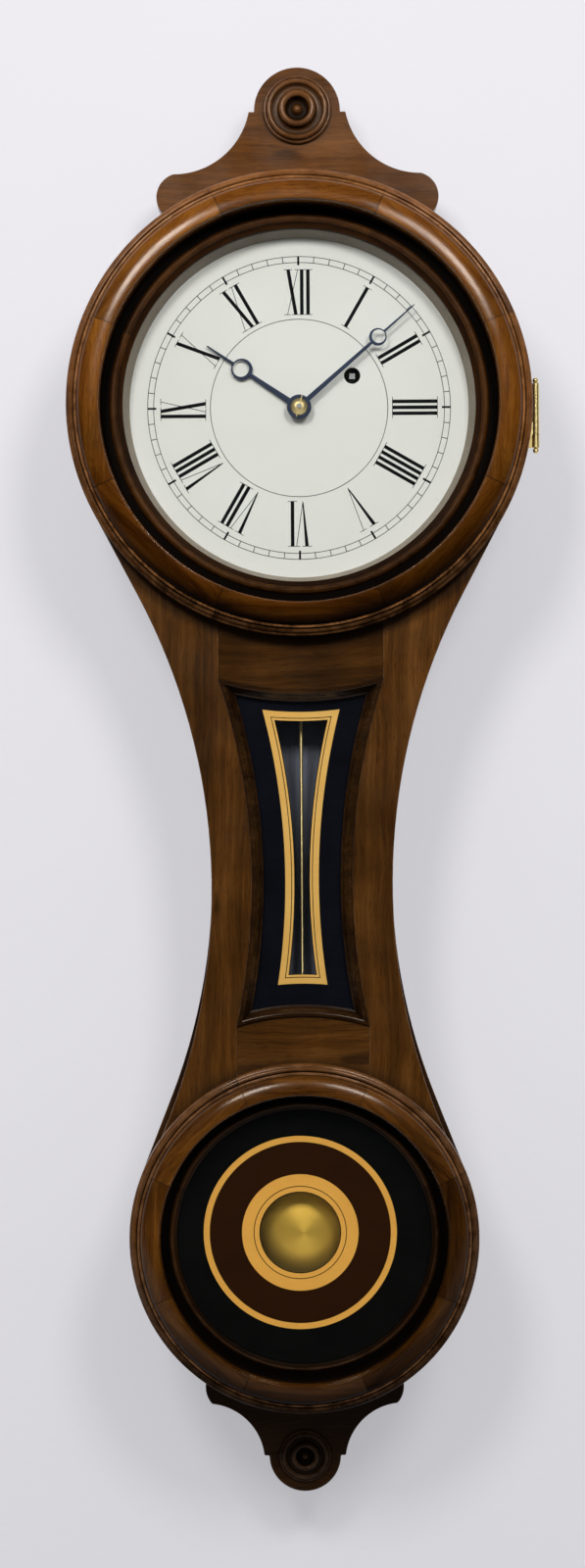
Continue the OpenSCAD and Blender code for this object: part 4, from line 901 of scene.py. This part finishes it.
# %% Lower glass paint
ART_X, ART_Z = -3.1, 2.6
ART = [circle(97.9)] + [circle(r, 180, ART_X, ART_Z) for r in (74.1, 69.5, 44.7, 35.75, 35.10, 31.4, 30.8)]
painted = coats("lower_paint_", LOWER, (105.97, 105.90), ART,
                ("black", lower_black), ("gold_ring", gold_paint), ("maroon", maroon_paint),
                ("gold_wide", gold_paint), ("line", gold_edge), ("gold_window", gold_paint),
                ("window_edge", black_paint))
print("rings of paint:", len(painted))

# %% [markdown]
# ## Paint behind the tablet glass
# The tablet is black with a gold frame that follows the shape of the opening, and a clear slot
# in which the pendulum's rod swings. Its outlines are four arcs each, moved inwards step by step.

# %% Outlines of the tablet
SIDE_X, WAIST_Z, SIDE_R, BOTTOM_Z = 538.1, -365.0, 500.0, -637.0
RIGHT_ANGLE = math.pi / 2


def meet(r_one, z_one, r_side):
    """Where a circle about (0, z_one) meets the right side's circle, on the waist's side."""
    dx, dz = SIDE_X, WAIST_Z - z_one
    d = math.hypot(dx, dz)
    p = (r_one ** 2 - r_side ** 2 + d * d) / (2 * d)
    h = math.sqrt(r_one ** 2 - p * p)
    spots = [(p * dx / d - s * h * dz / d, z_one + p * dz / d + s * h * dx / d) for s in (1, -1)]
    return min(spots, key=lambda q: abs(q[0]) + abs(q[1] - WAIST_Z) * 0.01)


def bow(x, z, r, start, end, steps=32):
    """Points along an arc about x, z between two angles in radians, without the last one."""
    turns = [start + (end - start) * i / steps for i in range(steps)]
    return [(x + r * math.cos(a), z + r * math.sin(a)) for a in turns]


def hourglass(side_in, top_r, bottom_r):
    """The opening's outline with its side, top and bottom arcs moved: four bows, clockwise."""
    r_side = SIDE_R + side_in
    top, low = meet(top_r, 0.0, r_side), meet(bottom_r, BOTTOM_Z, r_side)
    wide_top, wide_low = math.asin(top[0] / top_r), math.asin(low[0] / bottom_r)
    b_top, b_low = (math.asin((q[1] - WAIST_Z) / r_side) for q in (top, low))
    return (bow(0, 0, top_r, -RIGHT_ANGLE - wide_top, -RIGHT_ANGLE + wide_top)
            + bow(SIDE_X, WAIST_Z, r_side, math.pi - b_top, math.pi - b_low)
            + bow(0, BOTTOM_Z, bottom_r, RIGHT_ANGLE - wide_low, RIGHT_ANGLE + wide_low)
            + bow(-SIDE_X, WAIST_Z, r_side, b_low, b_top))


def inset(d):
    """The gold frame's outline, moved inwards by d."""
    return hourglass(25.2 + d, 234.9 + d, 192.9 + d)


print("gold frame: half width", round(max(x for x, z in inset(0)), 1), "mm at its widest")

# %% Tablet paint
FRAME = [hourglass(1.5, 220.0, 170.1)] + [inset(d) for d in (0, 4.6, 5.25, 6.9, 7.5)]
tablet = coats("tablet_", DIAL, (96.98, 96.90), FRAME,
               ("black", black_paint), ("gold_wide", gold_leaf), ("line", gold_edge),
               ("gold_thin", gold_leaf), ("window_edge", black_paint))
print("tablet paints:", len(tablet))

# %% [markdown]
# ## The hands
# The hands are filed from thin steel, polished and blued. A narrow bevel round the outline catches
# the light as a pale line, which is what makes them read as metal.

# %% Hands and collet
def plain_grain(point, middle):
    return point.copy()


hands = [
    eased("hour_hand_blued", "hour_hand", "hour", "hand_steel", blued_steel, plain_grain, 0.30),
    eased("minute_hand_blued", "minute_hand", "centre", "hand_steel", blued_steel, plain_grain, 0.30),
    eased("collet_turned", "hand_collet", "centre", "brass", collet_brass, plain_grain, 0.12),
]
print("hands:", ", ".join(h.name for h in hands))

# %% [markdown]
# ## The bob
# Two spun brass shells closed round an iron core, like a lens. Spinning leaves fine rings, so
# light gathers in two bright fans, and tarnish has darkened the lower edge. The rings are noise
# on the distance to the bob's axis, the fans come from an anisotropic shader whose tangent runs
# round that axis, and the tarnish from the distance to a point above it.

# %% Spun brass and the bob
BOB_DEPTH, BOB_R, BOB_THICK = 80, 54, 26


def spun_brass():
    material, tree = finish("spun_brass", Metallic=0.8, Anisotropic=0.5, Anisotropic_Rotation=0.25)
    place = vectors(tree, "ADD", place_in(tree), tuple(-LOWER))
    flat = vectors(tree, "MULTIPLY", place, (1, 0, 1))
    away = times(tree, vectors(tree, "LENGTH", flat, out="Value"), 1500.0)
    rings = add(tree, "TexNoise", {"W": away, "Scale": 1.0, "Detail": 2.0}, noise_dimensions="1D").outputs[0]
    clouds = span(tree, noise(tree, place, 30.0, 3), 0.35, 0.7, 0.0, 0.35)
    colour = mixed(tree, clouds, (1.0, 0.66, 0.115, 1), (1.0, 0.61, 0.100, 1))
    colour = mixed(tree, span(tree, rings, 0.3, 0.7, 0.0, 0.25), colour, (0.92, 0.56, 0.09, 1))
    low = vectors(tree, "LENGTH", vectors(tree, "ADD", flat, (0, 0, -0.007)), out="Value")
    colour = mixed(tree, span(tree, low, 0.022, 0.036, 0.0, 0.8), colour, (0.20, 0.17, 0.07, 1))
    tangent = add(tree, "Tangent", direction_type="RADIAL", axis="Y").outputs[0]
    return plugged(material, Base_Color=colour, Roughness=span(tree, rings, 0.3, 0.7, 0.44, 0.52),
                   Tangent=tangent, Normal=bumped(tree, rings, 0.00002, 0.5))


def lens(name, centre, middle_depth, r, thick, material):
    ball = (r * r + thick * thick / 4) / thick
    edge = r - 0.9
    reach = math.degrees(math.asin(edge / ball))
    front = arc(0, middle_depth + thick / 2 - ball, ball, 90 - reach, 89.99, 24)
    back = arc(0, middle_depth - thick / 2 + ball, ball, -89.99, reach - 90, 24)
    section = back + [(edge, middle_depth, 0.5, 0)] + front
    return turned(name, centre, section, material, 96, 25, weld=10 * WELD)


def slimmed(name, node, body, slot, material, by):
    """A copy of a node whose surface is drawn in a little, as a filed and polished rod is."""
    form = copied(node)
    form.normal_update()
    for point, inwards in [(point, -point.normal) for point in form.verts]:
        point.co += inwards * by * MM
    return keep(set_down(name, form, material, 40), body, slot, node)


rod = slimmed("rod_polished", "pendulum_rod", "pendulum", "brass", rod_brass_painted_sheen, 0.45)
bob = keep(lens("bob_spun", LOWER, BOB_DEPTH, BOB_R, BOB_THICK, spun_brass()), "pendulum", "brass", "bob")
print("bob faces:", len(bob.data.polygons), "rod faces:", len(rod.data.polygons))

# %% [markdown]
# ## Finishes for the solids that stay
# The works behind the dial, the screws, the glasses and the hidden boards have the right shape
# already, so they keep their solids and only get a finish each. The cord is waxed linen: pale
# strands that wind round it.

# %% The cord's finish
def linen_cord():
    material, tree = finish("linen_cord", Specular_IOR_Level=0.4)
    place = place_in(tree)
    wound = add(tree, "Mapping", {"Vector": place, "Rotation": (0, math.radians(35), 0)}).outputs[0]
    strands = add(tree, "TexWave", {"Vector": wound, "Scale": 520.0, "Distortion": 0.6},
                  bands_direction="Z").outputs["Fac"]
    colour = mixed(tree, strands, (0.20, 0.125, 0.055, 1), (0.42, 0.30, 0.15, 1))
    colour = mixed(tree, span(tree, noise(tree, place, 80.0), 0.4, 0.7, 0, 0.4), colour, (0.16, 0.10, 0.05, 1))
    return plugged(material, Base_Color=colour, Roughness=span(tree, strands, 0, 1, 0.6, 0.45),
                   Normal=bumped(tree, strands, 0.00015, 0.8))


cord = linen_cord()
print("cord:", cord.name)

# %% Finishes by node
FINISHES = {
    back_board: ["backboard"],
    baffle_painted_reflection: ["weight_baffle"],
    inner_board: ["dial_board", "door_glass_retainer", "lower_glass_retainer"],
    glass: ["door_glass", "lower_glass", "waist_glass"],
    dial_paint: ["dial_plate"],
    plate_brass: ["back_plate", "front_plate", "plate_pillars", "pendulum_cock", "great_wheel", "centre_wheel",
                  "third_wheel", "escape_wheel", "minute_wheel", "hour_wheel", "cannon_pinion"],
    brass: ["dial_screws", "door_catch", "rating_nut", "pulley", "pulley_frame"],
    hinge_brass: ["hinge_case_leaf", "hinge_door_leaf", "hinge_pin"],
    steel: ["centre_arbor", "winding_drum", "pallet_anchor", "crutch", "suspension_spring", "cord_anchor", "click"],
    screw_steel: ["hanger_plate", "hanger_screws", "pillar_screws"],
    weight_iron: ["weight"],
    cord: ["cord"],
}
for material, nodes in FINISHES.items():
    for name in nodes:
        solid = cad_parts[name]
        for each in solid.material_slots:
            each.material = material
        if not solid.material_slots:
            solid.data.materials.append(material)
print("solids kept with a finish:", sum(len(nodes) for nodes in FINISHES.values()))

# %% [markdown]
# ## The wall, the floor and the light
# The clock hangs on a white wall, lit by two soft lamps above and in front of it. The wall keeps
# the clock's soft shadows. A part of its white shows only to the camera, to gloss and through
# glass, so no more light falls on the clock. Its back is see-through, for views from behind.

# %% Wall and floor
SHADE = 0.52
WIDE, TALL, FLOOR, WALL, NEAR = 4, 3, -1.45, 0.003, -2.4


def pale(name, colour, glow):
    material = bpy.data.materials.new(name)
    tree = bare(material)
    place = add(tree, "NewGeometry").outputs
    rough = noise(tree, place["Position"], 160.0, 4, 0.6)
    broad = span(tree, noise(tree, place["Position"], 2.2, 3, 0.6), 0.3, 0.7, 0.96, 1.0)
    ground = mixed(tree, 1.0, shaded(colour, SHADE), grey(tree, broad), "MULTIPLY")
    matt = add(tree, "BsdfDiffuse", {"Color": ground, "Normal": bumped(tree, rough, 0.0006, 0.35)})
    path = add(tree, "LightPath").outputs
    seen = calc(tree, "MAXIMUM", calc(tree, "MAXIMUM", path["Is Camera Ray"], path["Is Glossy Ray"]),
                path["Is Transmission Ray"])
    lit = add(tree, "Emission", {"Color": (*colour, 1), "Strength": times(tree, seen, glow)})
    both = add(tree, "AddShader", {0: matt.outputs[0], 1: lit.outputs[0]})
    clear = add(tree, "BsdfTransparent")
    sided = add(tree, "MixShader", {0: place["Backfacing"], 1: both.outputs[0], 2: clear.outputs[0]})
    add(tree, "OutputMaterial", {"Surface": sided.outputs[0]})
    return material


def sheet_of(name, one, other, material):
    """A wide sheet between two edges, each given by its y and z."""
    mesh = bpy.data.meshes.new(name)
    corners = [(-WIDE, *one), (WIDE, *one), (WIDE, *other), (-WIDE, *other)]
    mesh.from_pydata(corners, [], [(0, 1, 2, 3)])
    piece = placed(name, mesh, material)
    piece.visible_diffuse = False
    piece.visible_shadow = False
    return piece


wall = sheet_of("wall", (WALL, FLOOR), (WALL, TALL), pale("wall_paint", (0.87, 0.868, 0.925), 0.46))
floor = sheet_of("floor", (NEAR, FLOOR), (WALL, FLOOR), pale("floor_paint", (0.80, 0.80, 0.82), 0.44))
print("stage:", wall.name, floor.name)

# %% Lamps and room
AIM = Vector((0, -0.1, -0.45))


def soft_lamp(name, x, watts):
    data = bpy.data.lights.new(name, "AREA")
    data.energy, data.size, data.color, data.shape = watts, 0.60, (1.0, 0.97, 0.93), "DISK"
    lamp = placed(name, data)
    lamp.location = place = Vector((x, -2.0, 0.80))
    lamp.rotation_euler = (AIM - place).to_track_quat("-Z", "Y").to_euler()
    return lamp


lamps = [soft_lamp("left_lamp", -0.66, 23), soft_lamp("right_lamp", 0.66, 21)]


def room_light():
    world = bpy.data.worlds.new("room")
    bpy.context.scene.world = world
    tree = bare(world)
    path = add(tree, "LightPath").outputs
    way = add(tree, "SeparateXYZ", {0: add(tree, "TexCoord").outputs["Generated"]}).outputs
    high = span(tree, way["Z"], -0.35, 0.75)
    front = mixed(tree, high, (0.004, 0.004, 0.005, 1), (0.050, 0.055, 0.075, 1))
    gloss = mixed(tree, span(tree, way["Y"], -0.1, 0.35), front, (0.85, 0.85, 0.88, 1))
    matt = mixed(tree, high, (0.035, 0.034, 0.033, 1), (0.62, 0.61, 0.60, 1))
    colour = mixed(tree, path["Is Glossy Ray"], matt, gloss)
    seen = calc(tree, "MAXIMUM", path["Is Camera Ray"], path["Is Transmission Ray"])
    colour = mixed(tree, seen, colour, (0.92, 0.92, 0.94, 1))
    light = add(tree, "Background", {"Color": colour, "Strength": 1.0})
    add(tree, "OutputWorld", {"Surface": light.outputs[0]})


room_light()
print("lamps:", ", ".join(f"{lamp.name} {lamp.data.energy:g} W" for lamp in lamps))

# %% [markdown]
# ## The camera
# The photograph was taken from straight in front, from a little over two metres, at the height of
# the waist, with the camera rolled by a third of a degree. A small shift centres the clock.

# %% Camera and view
view = bpy.data.cameras.new("camera")
view.sensor_width, view.lens = 36, 64.6
view.shift_x, view.shift_y = 0.0053, 0.0125
cam = placed("camera", view)
cam.location = (-0.0134, -2.264, -0.4554)
cam.rotation_euler = (math.radians(90), math.radians(0.357), 0)
bpy.context.scene.camera = cam
bpy.context.scene.view_settings.view_transform = "Standard"
print("camera", tuple(round(v, 3) for v in cam.location), "lens", cam.data.lens)
